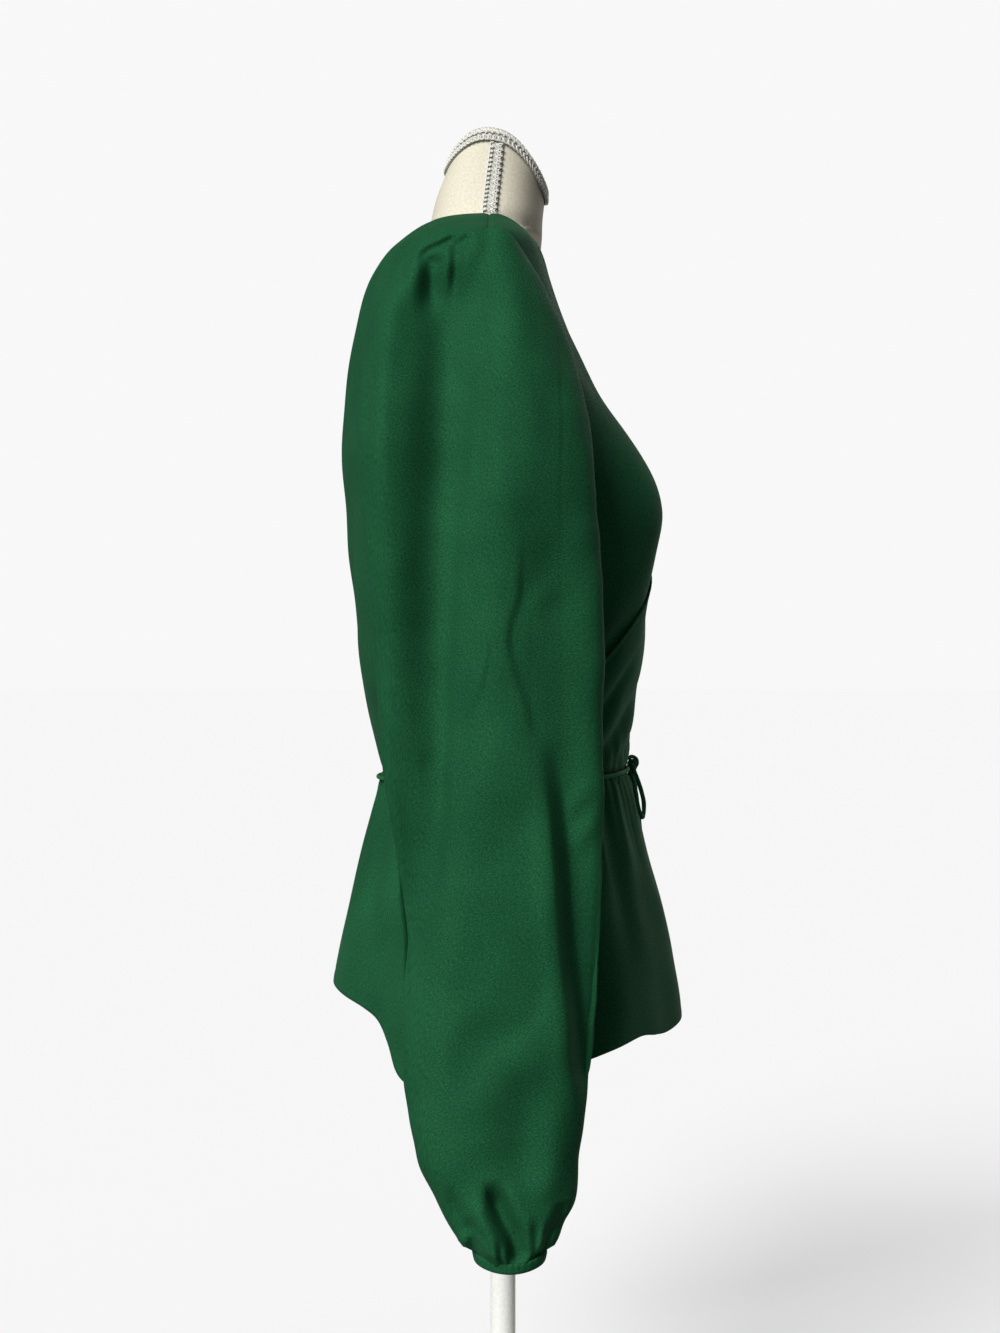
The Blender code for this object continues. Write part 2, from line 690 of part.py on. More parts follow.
def waist_layers(angle):
    """Thickness of the cloth under the tie: two layers where the fronts overlap."""
    wrapped = math.remainder(angle, 2 * math.pi)
    right = smooth_step((wrapped + OVER_REACH + LAP_MARGIN) / LAP_STEP)
    left = smooth_step((QUARTER + LAP_SIDE_MARGIN - wrapped) / LAP_STEP)
    return WALL + (WALL + LAYER_GAP) * right * left


def belt_point(angle):
    forward = max(0.0, math.cos(angle))
    rise = BELT_RISE_SIDE + (BELT_RISE_FRONT - BELT_RISE_SIDE) * forward**3
    point = ring_point(blend_rows(PEPLUM, level_at(PEPLUM, rise)), angle)
    out = waist_layers(angle) + BELT_CLEAR + CORD_RADIUS
    return point + Vector((point.x, point.y, 0)).normalized() * out


def on_peplum_front(x, rise, off):
    """Off the outside of the peplum's outer layer, at this x and height."""
    row = blend_rows(PEPLUM, level_at(PEPLUM, min(rise, 0.0)))
    angle = math.copysign(math.asin((abs(x) / row.half_width) ** (1 / SQUARENESS)), x)
    share = max(0.0, rise / hem_rise(angle))
    point = ring_point(row, angle)
    point.z = WAIST_Z + rise
    out = 2 * WALL + LAYER_GAP + flute(angle, share) + GATHER_DEEP / 2 + off
    return point + Vector((point.x, point.y, 0)).normalized() * out


def knot_centre():
    return on_peplum_front(0.0, KNOT_RISE, KNOT_RADII[1] + SEAM_GAP + GATHER_DEEP / 2)


def tie(finish):
    knot = knot_centre()
    ball("tie_knot", knot, KNOT_RADII, finish)
    reach = (KNOT_RADII[0] + 2 * SEAM_GAP) / TORSO[0].half_width
    sweep = 2 * math.pi - 2 * reach
    belt = [belt_point(reach + sweep * k / BELT_POINTS) for k in range(BELT_POINTS + 1)]
    tube("tie_waist_cord", belt, finish)
    for name, spots in BOW.items():
        last = len(spots) - 1
        route = [blend_rows(spots, last * k / CORD_STEPS) for k in range(CORD_STEPS + 1)]
        points = [on_peplum_front(*spot) for spot in route]
        tube(name, points, finish)
        if "tail" in name:
            run = (points[-1] - points[-2]).normalized()
            centre = points[-1] + run * (END_KNOT_RADIUS + SEAM_GAP)
            centre.y -= END_KNOT_RADIUS - CORD_RADIUS
            ball(name.replace("tail", "end_knot"), centre, (END_KNOT_RADIUS,) * 3, finish)


# ---------------------------------------------------------------- dress form


def form_clear(angle, rise):
    """The form stands in from the cloth, least on the shoulders and most at its arm plates."""
    on_shoulder = smooth_step((rise - SHOULDER_RISE) / SHOULDER_RAMP)
    plate = math.sin(angle) ** 4 * smooth_step((rise - ARM_PLATE_RISE) / ARM_PLATE_RAMP)
    in_front = FRONT_SHOULDER_IN * smooth_step(math.cos(angle) * 4) * on_shoulder
    clear = FORM_CLEAR + (FORM_SHOULDER_CLEAR - FORM_CLEAR) * on_shoulder
    return clear + in_front + ARM_PLATE_IN * plate * (1 - ARM_PLATE_FADE * on_shoulder)


def form_point(angle, level):
    """On the form's body, with the root of its neck standing out of the chest."""
    rise = blend_rows(TORSO, level).rise
    point = torso_out(angle, level, -form_clear(angle, rise))
    root = NECK[0]
    across = min(1.0, abs(point.x) / root.half_width)
    if rise > NECK_ROOT_RISE and math.cos(angle) > 0 and across < 1:
        front = root.ridge_y - (root.ridge_y - root.front_y) * math.sqrt(1 - across**2)
        point.y = min(point.y, front)
    return point


def rim_rise(angle):
    return NECK[-1].rise - NECK_SLANT * math.cos(angle) - NECK_ARCH * math.cos(2 * angle)


def neck_point(angle, share, out=0.0):
    """share is 0 at the foot of the neck and 1 at its rim."""
    row = blend_rows(NECK, (len(NECK) - 1) * share)
    point = ring_point(row, angle)
    point.z = WAIST_Z + NECK[0].rise + (rim_rise(angle) - NECK[0].rise) * share
    return point + Vector((point.x, point.y - row.ridge_y, 0)).normalized() * out


def dress_form(finish):
    angles = [2 * math.pi * c / FORM_SEGMENTS for c in range(FORM_SEGMENTS)]
    rows = [[ring_point(row, a) for a in angles] for row in HIPS]
    rows += [[form_point(a, level) for a in angles] for level in FORM_LEVELS]
    rows += [[neck_point(a, share) for a in angles] for share in even_steps(0.0, 1.0, len(NECK) - 1)]
    middle = Vector((0.0, (NECK[-1].front_y + NECK[-1].back_y) / 2, WAIST_Z + NECK[-1].rise))
    for cap in CAP:
        ring = [middle + (p - middle) * cap.share for p in (neck_point(a, 1.0) for a in angles)]
        rows.append([p + Vector((0.0, 0.0, cap.rise)) for p in ring])
    mesh = grid_mesh("dress_form", rows, closed=True, caps=("first", "last"))
    shade(mesh)
    return add_object("dress_form", mesh, finish)


def rim_braid(finish):
    angles = [2 * math.pi * c / FORM_SEGMENTS for c in range(FORM_SEGMENTS)]
    rows = []
    for drop in (RIM_BRAID_TALL, RIM_BRAID_TALL / 2, -RIM_BRAID_OVER):
        ring = []
        for angle in angles:
            share = 1 - drop / (rim_rise(angle) - NECK[0].rise)
            ring.append(neck_point(angle, share, BRAID_SEAT))
        rows.append(ring)
    return cloth("neck_rim_braid", rows, finish, closed=True, thick=BRAID_THICK)


def side_braid(name, side, finish):
    middle = side * QUARTER
    height = rim_rise(middle) - NECK[0].rise
    low = (SIDE_BRAID_FOOT - NECK[0].rise) / height
    high = 1 - (RIM_BRAID_TALL + BRAID_JOIN) / height
    half = SIDE_BRAID_WIDE / 2 / NECK[2].half_width
    angles = even_steps(middle - half, middle + half, SIDE_BRAID_COLUMNS)
    shares = even_steps(low, high, SIDE_BRAID_ROWS)
    rows = [[neck_point(a, share, BRAID_SEAT) for a in angles] for share in shares]
    return cloth(name, rows, finish, thick=BRAID_THICK)


# ---------------------------------------------------------------- stand


def drum(name, radius, low, high, finish, bevel=0.0):
    mesh = bpy.data.meshes.new(name)
    shape = bmesh.new()
    bmesh.ops.create_cone(
        shape, cap_ends=True, segments=ROUND_SEGMENTS, radius1=radius, radius2=radius, depth=high - low
    )
    bmesh.ops.translate(shape, vec=(0.0, 0.0, (high + low) / 2), verts=shape.verts)
    shape.to_mesh(mesh)
    shape.free()
    shade(mesh)
    made = add_object(name, mesh, finish)
    if bevel:
        edge = made.modifiers.new("edge", "BEVEL")
        edge.width = bevel
        edge.segments = 2
        edge.limit_method = "ANGLE"
    return made


def stand(finish):
    form_foot = WAIST_Z + HIPS[0].rise
    collar_foot = form_foot - SEAM_GAP - COLLAR_TALL
    drum("stand_base", BASE_RADIUS, 0.0, BASE_THICK, finish, BASE_BEVEL)
    drum("stand_pole", POLE_RADIUS, BASE_THICK + SEAM_GAP, collar_foot - SEAM_GAP, finish)
    drum("stand_collar", COLLAR_RADIUS, collar_foot, form_foot - SEAM_GAP, finish, BASE_BEVEL / 2)


# ---------------------------------------------------------------- the whole part


def clear_scene():
    for old in list(bpy.data.objects):
        bpy.data.objects.remove(old)


def build():
    crepe = material("green_crepe", GREEN, 0.85)
    rouleau = material("green_rouleau", GREEN, 0.75)
    linen = material("cream_linen", LINEN, 0.9)
    braid = material("silver_white_braid", SILVER_WHITE, 0.6)
    paint = material("white_painted_steel", WHITE_PAINT, 0.45)

    bodice_back(crepe)
    bodice_front("bodice_front_right", -1, UNDER_REACH, lambda a, rise: 0.0, crepe)
    bodice_front("bodice_front_left", 1, OVER_REACH, lift, crepe)

    seam = SEAM_TURN
    peplum_panel("peplum_back", QUARTER + seam, 3 * QUARTER - seam, lambda a, rise: 0.0, crepe)
    under_end = wrap_edge_angle(0.0, UNDER_REACH)
    peplum_panel("peplum_front_right", seam - QUARTER, under_end, lambda a, rise: 0.0, crepe)
    peplum_panel("peplum_front_left", seam - QUARTER, QUARTER - seam, lift, crepe)

    for name, side in (("right", -1), ("left", 1)):
        sleeve(f"sleeve_{name}", side, crepe)
        cuff(f"cuff_{name}", side, crepe)
        side_braid(f"neck_side_braid_{name}", side, braid)

    tie(rouleau)
    dress_form(linen)
    rim_braid(braid)
    stand(paint)


clear_scene()
build()
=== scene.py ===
"""Wrap top with balloon sleeves, worn by a limbless dress form on a low stand.

Metres, +Z up; the wearer faces -Y and the wearer's left is +X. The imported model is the
frame: every piece here replaces one of its nodes and stays in that node's place. Heights
called rise are measured from the waist seam. Angles go round the body: 0 is the centre
front, a quarter turn the wearer's left side and half a turn the centre back.
"""

from __future__ import annotations

import json
import logging
import math
from collections.abc import Callable, Sequence
from dataclasses import dataclass, field, replace
from enum import Enum

import bmesh
import bpy
import numpy as np
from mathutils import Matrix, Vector

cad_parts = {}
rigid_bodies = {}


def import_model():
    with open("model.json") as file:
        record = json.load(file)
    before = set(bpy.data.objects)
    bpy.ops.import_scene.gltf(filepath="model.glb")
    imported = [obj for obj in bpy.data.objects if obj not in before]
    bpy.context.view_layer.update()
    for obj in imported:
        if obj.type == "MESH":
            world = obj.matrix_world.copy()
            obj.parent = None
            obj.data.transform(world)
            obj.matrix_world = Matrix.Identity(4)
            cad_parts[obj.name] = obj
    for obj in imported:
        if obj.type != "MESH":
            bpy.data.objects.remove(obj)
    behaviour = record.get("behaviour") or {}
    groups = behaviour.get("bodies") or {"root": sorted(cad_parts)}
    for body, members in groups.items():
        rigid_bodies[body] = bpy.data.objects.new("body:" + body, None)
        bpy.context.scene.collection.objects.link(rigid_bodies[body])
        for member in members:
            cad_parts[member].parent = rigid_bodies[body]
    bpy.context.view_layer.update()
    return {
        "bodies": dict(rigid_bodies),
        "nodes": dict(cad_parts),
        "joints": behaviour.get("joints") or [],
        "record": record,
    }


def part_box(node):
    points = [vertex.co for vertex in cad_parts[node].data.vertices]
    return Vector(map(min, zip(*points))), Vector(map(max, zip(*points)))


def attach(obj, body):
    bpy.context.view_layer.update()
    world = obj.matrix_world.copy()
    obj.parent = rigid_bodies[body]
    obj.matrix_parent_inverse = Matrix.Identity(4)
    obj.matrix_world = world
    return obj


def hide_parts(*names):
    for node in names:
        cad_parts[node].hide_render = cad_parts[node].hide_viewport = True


log = logging.getLogger("wrap_top")

Array = np.ndarray
Point = tuple[float, float, float]
Range = tuple[float, float]  # the least and the most that a random number may be
Mesh = tuple[Array, Array, Array]  # points, quads, and coordinates for each corner of each quad
Source = bpy.types.Node | bpy.types.NodeSocket  # a node stands for its first output
Lift = Callable[[Array, Array], Array]  # a distance off the body, at an angle and a rise
MM = 0.001
HALF_TURN = math.pi
QUARTER = math.pi / 2

# The heights that the whole garment hangs from
WAIST_Z = 0.487
SQUARENESS = 0.91  # power of sine and cosine in a body ring; 1 is an ellipse

# Folds, in their own widths across
STEP_FACE = 3.0  # over which the cloth falls from a standing edge
STEP_RETURN = 7.0  # over which it comes back
STEP_LIP = 0.14  # how far that edge rolls up, as a share of its depth
SOFT_LIP = 0.22  # how far cloth swells beside a soft fold, as a share of its depth
SOFT_BESIDE = 2.4  # where it swells
STEP_REACH, SOFT_REACH = 12.0, 4.5
GATHER_HOLLOW, GATHER_BESIDE = 0.45, 2.2
RIPPLE_WAVES = 14

# Cloth
CLOTH_THICK = 0.0007
HEM_THICK = 0.0013
HEM_TALL = 0.006
HEM_STEP = 0.0012  # over which a hem's second layer ends
STITCH_DIP = 0.00022  # how far the stitches of a hem pull in
STITCH_WIDE = 0.0009
SEAM_SINK = 0.0009  # how deep a seam is pulled in
SEAM_WIDE = 0.0016
RIM_ROUND = 0.45  # how far a cut edge stands out, as a share of its thickness
RIM_STEP, RIM_WIDE = 0.002, 0.0006  # how much of the grain shows on each face of a cut edge

# The body rings that the cloth lies on: rise, half width, ridge, front, back
TORSO = (
    (0.000, 0.118, 0.000, -0.0843, 0.0850), (0.040, 0.123, 0.000, -0.0895, 0.0950),
    (0.085, 0.131, 0.001, -0.0950, 0.1025), (0.125, 0.139, 0.002, -0.0900, 0.1060),
    (0.155, 0.143, 0.003, -0.0855, 0.1085), (0.182, 0.146, 0.004, -0.0850, 0.1105),
    (0.215, 0.150, 0.006, -0.0790, 0.1125), (0.252, 0.154, 0.008, -0.0670, 0.1120),
    (0.290, 0.159, 0.009, -0.0525, 0.1080), (0.322, 0.163, 0.010, -0.0400, 0.1016),
    (0.344, 0.165, 0.010, -0.0325, 0.0935), (0.358, 0.161, 0.010, -0.0285, 0.0845),
    (0.369, 0.133, 0.010, -0.0235, 0.0740), (0.379, 0.098, 0.010, -0.0130, 0.0635),
    (0.387, 0.060, 0.010, -0.0010, 0.0545),
)
PEPLUM = (
    (-0.205, 0.1765, 0.0, -0.1185, 0.1190), (-0.165, 0.1700, 0.0, -0.1195, 0.1185),
    (-0.131, 0.1605, 0.0, -0.1160, 0.1165), (-0.095, 0.1480, 0.0, -0.1085, 0.1090),
    (-0.060, 0.1350, 0.0, -0.1000, 0.1000), (-0.030, 0.1245, 0.0, -0.0930, 0.0920),
    (-0.012, 0.1195, 0.0, -0.0887, 0.0872), (0.000, 0.1180, 0.0, -0.0843, 0.0850),
)
NECK = (
    (0.392, 0.0560, 0.0090, -0.0285, 0.0520), (0.401, 0.0525, 0.0075, -0.0290, 0.0500),
    (0.411, 0.0505, 0.0060, -0.0298, 0.0465), (0.423, 0.0495, 0.0045, -0.0302, 0.0415),
    (0.437, 0.0490, 0.0035, -0.0302, 0.0380),
)
# Hem: degrees from the centre front either way round, rise
HEM = (
    (0, -0.1730), (18, -0.1795), (30, -0.1780), (41, -0.1755), (57, -0.1800),
    (73, -0.1890), (90, -0.1960), (108, -0.2030), (119, -0.2015), (125, -0.1945),
    (129, -0.1780), (134, -0.1650), (142, -0.1580), (152, -0.1530), (165, -0.1480),
    (180, -0.1450),
)
# Sleeve, hanging empty: height, middle's distance from the centre plane, front and back
# edges, half its thickness
SLEEVE = (
    (0.660, 0.1960, -0.0600, 0.0905, 0.0330), (0.596, 0.1985, -0.0632, 0.0862, 0.0300),
    (0.533, 0.2020, -0.0637, 0.0795, 0.0275), (0.470, 0.2060, -0.0635, 0.0723, 0.0255),
    (0.407, 0.2100, -0.0616, 0.0667, 0.0245), (0.344, 0.2125, -0.0580, 0.0637, 0.0240),
    (0.290, 0.2120, -0.0540, 0.0635, 0.0245), (0.250, 0.2110, -0.0480, 0.0555, 0.0255),
    (0.2215, 0.2100, -0.0462, 0.0435, 0.0270), (0.2045, 0.2100, -0.0390, 0.0362, 0.0275),
    (0.1940, 0.2100, -0.0355, 0.0308, 0.0270), (0.1885, 0.2100, -0.0325, 0.0262, 0.0255),
    (0.1855, 0.2100, -0.0275, 0.0195, 0.0225),
)
ARC_RADIUS = TORSO[0][1]  # at which distances round a panel are measured
LINE_POINTS = 1500  # along a line that is measured
CAP_RING, CAP_RISE, CAP_TIP = 0.62, 0.6, 0.85  # the rounding of a cord's end, in its radius

# Seeds of the random draws. Layers that lie on each other share one
BACK_TUCKS, FRONT_TUCKS, BACK_SWAY, FRONT_SWAY = 11, 12, 21, 31
PEPLUM_SWAY, SLEEVE_GATHERS, SLEEVE_SWAY, SLEEVE_FINE_SWAY = 50, 40, 60, 70
LEFT_FOLDS, INSIDE_FOLDS = 5, 8
KNOT_SEED, BELT_SEED = 3, 9


# ---------------------------------------------------------------- small helpers


def smooth(value: Array | float) -> Array:
    """A soft step from 0 to 1, level before and after it."""
    value = np.clip(value, 0.0, 1.0)
    return value * value * (3 - 2 * value)


def bell(distance: Array | float, spread: float) -> Array:
    """A bell curve one high, its spread being the standard deviation."""
    return np.exp(-0.5 * (np.asarray(distance) / spread) ** 2)


def power(value: Array | float, exponent: float) -> Array:
    """A power that keeps its number's sign."""
    return np.sign(value) * np.abs(value) ** exponent


def wrapped(turn: Array | float) -> Array:
    """An angle brought between minus and plus half a turn."""
    return (np.asarray(turn) + math.pi) % (2 * math.pi) - math.pi


def unit(vectors: Array) -> Array:
    """Vectors brought to length 1 along their last axis."""
    return vectors / np.maximum(np.linalg.norm(vectors, axis=-1, keepdims=True), 1e-12)


def running(points: Array, axis: int = 0) -> Array:
    """Lengths along the lines of a grid of points, from nought at their start."""
    steps = np.linalg.norm(np.diff(points, axis=axis), axis=-1)
    return np.concatenate([np.zeros_like(steps.take([0], axis)), np.cumsum(steps, axis)], axis)


def pairs(line: Array, closed: bool) -> tuple[Array, Array]:
    """Each point number of a line, and the one after it."""
    return (line, np.roll(line, -1)) if closed else (line[:-1], line[1:])


def spline(points: Sequence[Sequence[float]], count: int) -> Array:
    """A smooth curve through points, given back as a count of points spaced evenly by index."""
    rows = tuple(tuple(float(x) for x in point) for point in points)
    return Rings(rows).at(np.linspace(0, len(points) - 1, count))


def even_along(points: Array, count: int) -> Array:
    """Points evenly spaced by length along a line of points.

    Args:
        points: the line.
        count: how many to give back.
    Returns:
        The new points, one a row.
    """
    run = running(points)
    places = np.linspace(0, run[-1], count)
    return np.stack([np.interp(places, run, points[:, k]) for k in range(points.shape[1])], 1)


@dataclass(frozen=True)
class Rings:
    """A table whose rows are joined by a smooth curve, read at any fractional row."""

    rows: tuple[tuple[float, ...], ...]

    def at(self, level: Array | float) -> Array:
        """The row at a fractional index.

        Args:
            level: index into the table, from 0 to its last row.
        Returns:
            The columns there, on the last axis.
        """
        table = np.asarray(self.rows, float)
        last = len(table) - 1
        level = np.clip(np.asarray(level, float), 0.0, float(last))
        i = np.minimum(level.astype(int), last - 1)
        t = (level - i)[..., None]
        p, q, r, s = (table[np.clip(k, 0, last)] for k in (i - 1, i, i + 1, i + 2))
        curve = 2 * q + (r - p) * t + (2 * p - 5 * q + 4 * r - s) * t**2
        return 0.5 * (curve + (3 * q - p - 3 * r + s) * t**3)

    def level(self, value: Array | float) -> Array:
        """The fractional index at which the first column has a value.

        Args:
            value: of the first column.
        Returns:
            The index, seldom a whole number.
        """
        levels = np.linspace(0, len(self.rows) - 1, 4001)
        first = self.at(levels)[:, 0]
        if first[-1] < first[0]:
            return np.interp(value, first[::-1], levels[::-1])
        return np.interp(value, first, levels)


def ring_xy(row: Array, angle: Array | float) -> tuple[Array, Array]:
    """Where a body ring passes at an angle.

    Args:
        row: rise, half width, ridge, front and back on the last axis.
        angle: round the body.
    Returns:
        Its x and its y.
    """
    side, face = np.sin(angle), np.cos(angle)
    depth = np.where(face > 0, row[..., 2] - row[..., 3], row[..., 4] - row[..., 2])
    x = row[..., 1] * power(side, SQUARENESS)
    return x, row[..., 2] - depth * power(face, SQUARENESS)


def grid_normals(points: Array, closed: bool, sign: float) -> Array:
    """Outward directions of a grid of points.

    Args:
        points: rows by columns by three.
        closed: whether the last column is joined to the first.
        sign: 1 where rows rise and columns run anticlockwise seen from above.
    Returns:
        Unit vectors, one for each point.
    """
    if closed:
        across = np.roll(points, -1, 1) - np.roll(points, 1, 1)
    else:
        across = np.gradient(points, axis=1)
    along = np.gradient(points, axis=0)
    return unit(np.cross(across, along)) * sign


def gather(off: Array) -> Array:
    """A gather across its line, in its own widths: raised, between two small hollows."""
    return bell(off, 1.0) - GATHER_HOLLOW * bell(off, GATHER_BESIDE)


def ripple(points: Array, scale: float, seed: int) -> Array:
    """Gentle unevenness in space, the same on every run.

    Args:
        points: where, with three numbers on the last axis.
        scale: about how far one swelling is from the next.
        seed: which unevenness.
    Returns:
        A number about between -1 and 1 for each point.
    """
    draw = np.random.default_rng(seed)
    total = np.zeros(points.shape[:-1])
    for _ in range(RIPPLE_WAVES):
        way = draw.normal(size=3)
        way /= np.linalg.norm(way) * scale * draw.uniform(0.7, 1.7)
        total += np.sin(2 * math.pi * (points @ way) + draw.uniform(0, 2 * math.pi))
    return total / math.sqrt(RIPPLE_WAVES)


# ---------------------------------------------------------------- folds


class Kind(Enum):
    """What a fold is like across its line."""

    SOFT = "soft"  # a rounded trough or ridge
    STEP = "step"  # an edge that stands over lower cloth on its right, which rises again slowly


@dataclass(frozen=True)
class Crease:
    """A listed fold: a soft trough, or a ridge where deep is above nought."""

    route: tuple[tuple[float, float], ...]  # mm, in its panel's own two directions
    deep: float  # mm
    wide: float  # mm
    lean: float = 0.0  # -1 to 1: narrower or wider on the left of its line, looking along it
    start: float = 0.2  # share of its length over which it begins
    end: float = 0.3  # and over which it runs out
    kind: Kind = Kind.SOFT

    def across(self, signed: Array) -> Array:
        """Its shape across its line, for distances in its own width, left being positive.

        Args:
            signed: distances across it in its own width, left being positive.
        Returns:
            Its height there, as a share of its depth.
        """
        if self.kind is Kind.STEP:
            low = np.maximum(-signed, 0.0)
            fallen = smooth(low / STEP_FACE) * np.exp(-((low / STEP_RETURN) ** 2))
            return fallen - STEP_LIP * bell(signed - 0.8, 1.2)
        best = np.abs(signed)
        width = 1 + self.lean * np.sign(signed) * smooth(best)
        return bell(best / width, 1.0) - SOFT_LIP * bell(best - SOFT_BESIDE, 1.0)

    def height(self, spots: Array) -> Array:
        """How far it moves the cloth out.

        Args:
            spots: places on the panel in metres, with two numbers on the last axis.
        Returns:
            The height in metres at each.
        """
        path = even_along(spline(self.route, 12 * len(self.route)) * MM, 40)
        result = np.zeros(spots.shape[:-1])
        reach = (STEP_REACH if self.kind is Kind.STEP else SOFT_REACH) * self.wide * MM
        low, high = path.min(0) - reach, path.max(0) + reach
        inside = np.all((spots > low) & (spots < high), axis=-1)
        near = spots[inside]
        if not len(near):
            return result
        best, signed, share = np.full(len(near), 1e9), np.zeros(len(near)), np.zeros(len(near))
        steps = len(path) - 1
        for k in range(steps):
            run = path[k + 1] - path[k]
            off = near - path[k]
            t = np.clip((off @ run) / float(run @ run), 0.0, 1.0)
            gap = off - t[:, None] * run
            distance = np.hypot(gap[:, 0], gap[:, 1])
            closer = distance < best
            side = np.sign(run[0] * off[:, 1] - run[1] * off[:, 0])
            best = np.where(closer, distance, best)
            signed = np.where(closer, side * distance, signed)
            share = np.where(closer, (k + t) / steps, share)
        taper = smooth(share / max(self.start, 1e-3)) * smooth((1 - share) / max(self.end, 1e-3))
        result[inside] = self.deep * MM * self.across(signed / (self.wide * MM)) * taper
        return result


def varied(folds: Sequence[Crease], seed: int, much: float, keep: float = 1.0) -> list[Crease]:
    """The same kind of folds for a side that hangs a little differently.

    Args:
        folds: the folds to vary.
        seed: which variation.
        much: how far each moves, in mm.
        keep: share of their depth that stays.
    Returns:
        New folds, each moved and resized a little.
    """
    draw = np.random.default_rng(seed)
    made = []
    for crease in folds:
        shift = draw.normal(size=2) * np.array([much, 2.5 * much])
        route = tuple((a + shift[0], b + shift[1]) for a, b in crease.route)
        deep = crease.deep * keep * draw.uniform(0.65, 1.2)
        wide = crease.wide * draw.uniform(0.9, 1.25)
        made.append(replace(crease, route=route, deep=deep, wide=wide))
    return made


def fold_height(folds: Sequence[Crease], spots: Array) -> Array:
    """The sum of several folds at places on their panel."""
    return sum((fold.height(spots) for fold in folds), np.zeros(spots.shape[:-1]))


def creases(start: float, end: float, *rows: tuple) -> list[Crease]:
    """Soft folds that begin and end alike, each row giving a route, a depth and a width."""
    return [Crease(*row, start=start, end=end) for row in rows]


# ---------------------------------------------------------------- mesh making


def read(items: bpy.types.bpy_prop_collection, name: str, kind: type = np.int32, wide: int = 1) -> Array:
    """One attribute of every vertex, corner or face of a mesh, one a row.

    Args:
        items: the mesh's vertices, corners or faces.
        name: of the attribute.
        kind: of its numbers.
        wide: how many numbers it has.
    Returns:
        Its values.
    """
    found = np.empty(len(items) * wide, kind)
    items.foreach_get(name, found)
    return found.reshape(-1, wide) if wide > 1 else found


def link(name: str, data: bpy.types.ID) -> bpy.types.Object:
    """A new object in the scene.

    Args:
        name: of the object.
        data: its mesh, light or camera.
    Returns:
        The object.
    """
    made = bpy.data.objects.new(name, data)
    bpy.context.scene.collection.objects.link(made)
    return made


def mesh_object(name: str, points: Array, quads: Array, uv: Array) -> bpy.types.Object:
    """A smooth-shaded mesh of quads.

    Args:
        name: of the object and its mesh.
        points: one a row.
        quads: four point numbers a row.
        uv: cloth coordinates in metres for each corner of each quad, in the same order.
    Returns:
        The new object, in the scene.
    """
    mesh = bpy.data.meshes.new(name)
    mesh.vertices.add(len(points))
    mesh.vertices.foreach_set("co", np.ascontiguousarray(points, np.float32).ravel())
    mesh.loops.add(quads.size)
    mesh.loops.foreach_set("vertex_index", quads.astype(np.int32).ravel())
    mesh.polygons.add(len(quads))
    mesh.polygons.foreach_set("loop_start", np.arange(0, quads.size, 4, dtype=np.int32))
    mesh.polygons.foreach_set("use_smooth", np.ones(len(quads), bool))
    layer = mesh.uv_layers.new(name="cloth")
    layer.data.foreach_set("uv", np.ascontiguousarray(uv, np.float32).ravel())
    mesh.update(calc_edges=True)
    mesh.validate()
    return link(name, mesh)


def grid_quads(rows: int, columns: int, closed: bool) -> Array:
    """Point numbers of the quads of a grid.

    Args:
        rows: of points.
        columns: of points.
        closed: whether the last column is joined to the first.
    Returns:
        Quads as rows by columns by four.
    """
    index = np.arange(rows * columns).reshape(rows, columns)
    here, after = (index, np.roll(index, -1, 1)) if closed else (index[:, :-1], index[:, 1:])
    return np.stack([here[:-1], after[:-1], after[1:], here[1:]], -1)


def grid_uv(points: Array, closed: bool) -> Array:
    """Cloth coordinates in metres, measured along rows and columns.

    Args:
        points: rows by columns by three.
        closed: whether the last column is joined to the first.
    Returns:
        Two numbers for each corner of each quad.
    """
    full = np.concatenate([points, points[:, :1]], 1) if closed else points
    across = running(full, 1)
    across -= across[:, across.shape[1] // 2, None]
    flat = np.stack([across, running(full)], -1)
    return np.stack([flat[:-1, :-1], flat[:-1, 1:], flat[1:, 1:], flat[1:, :-1]], 2)


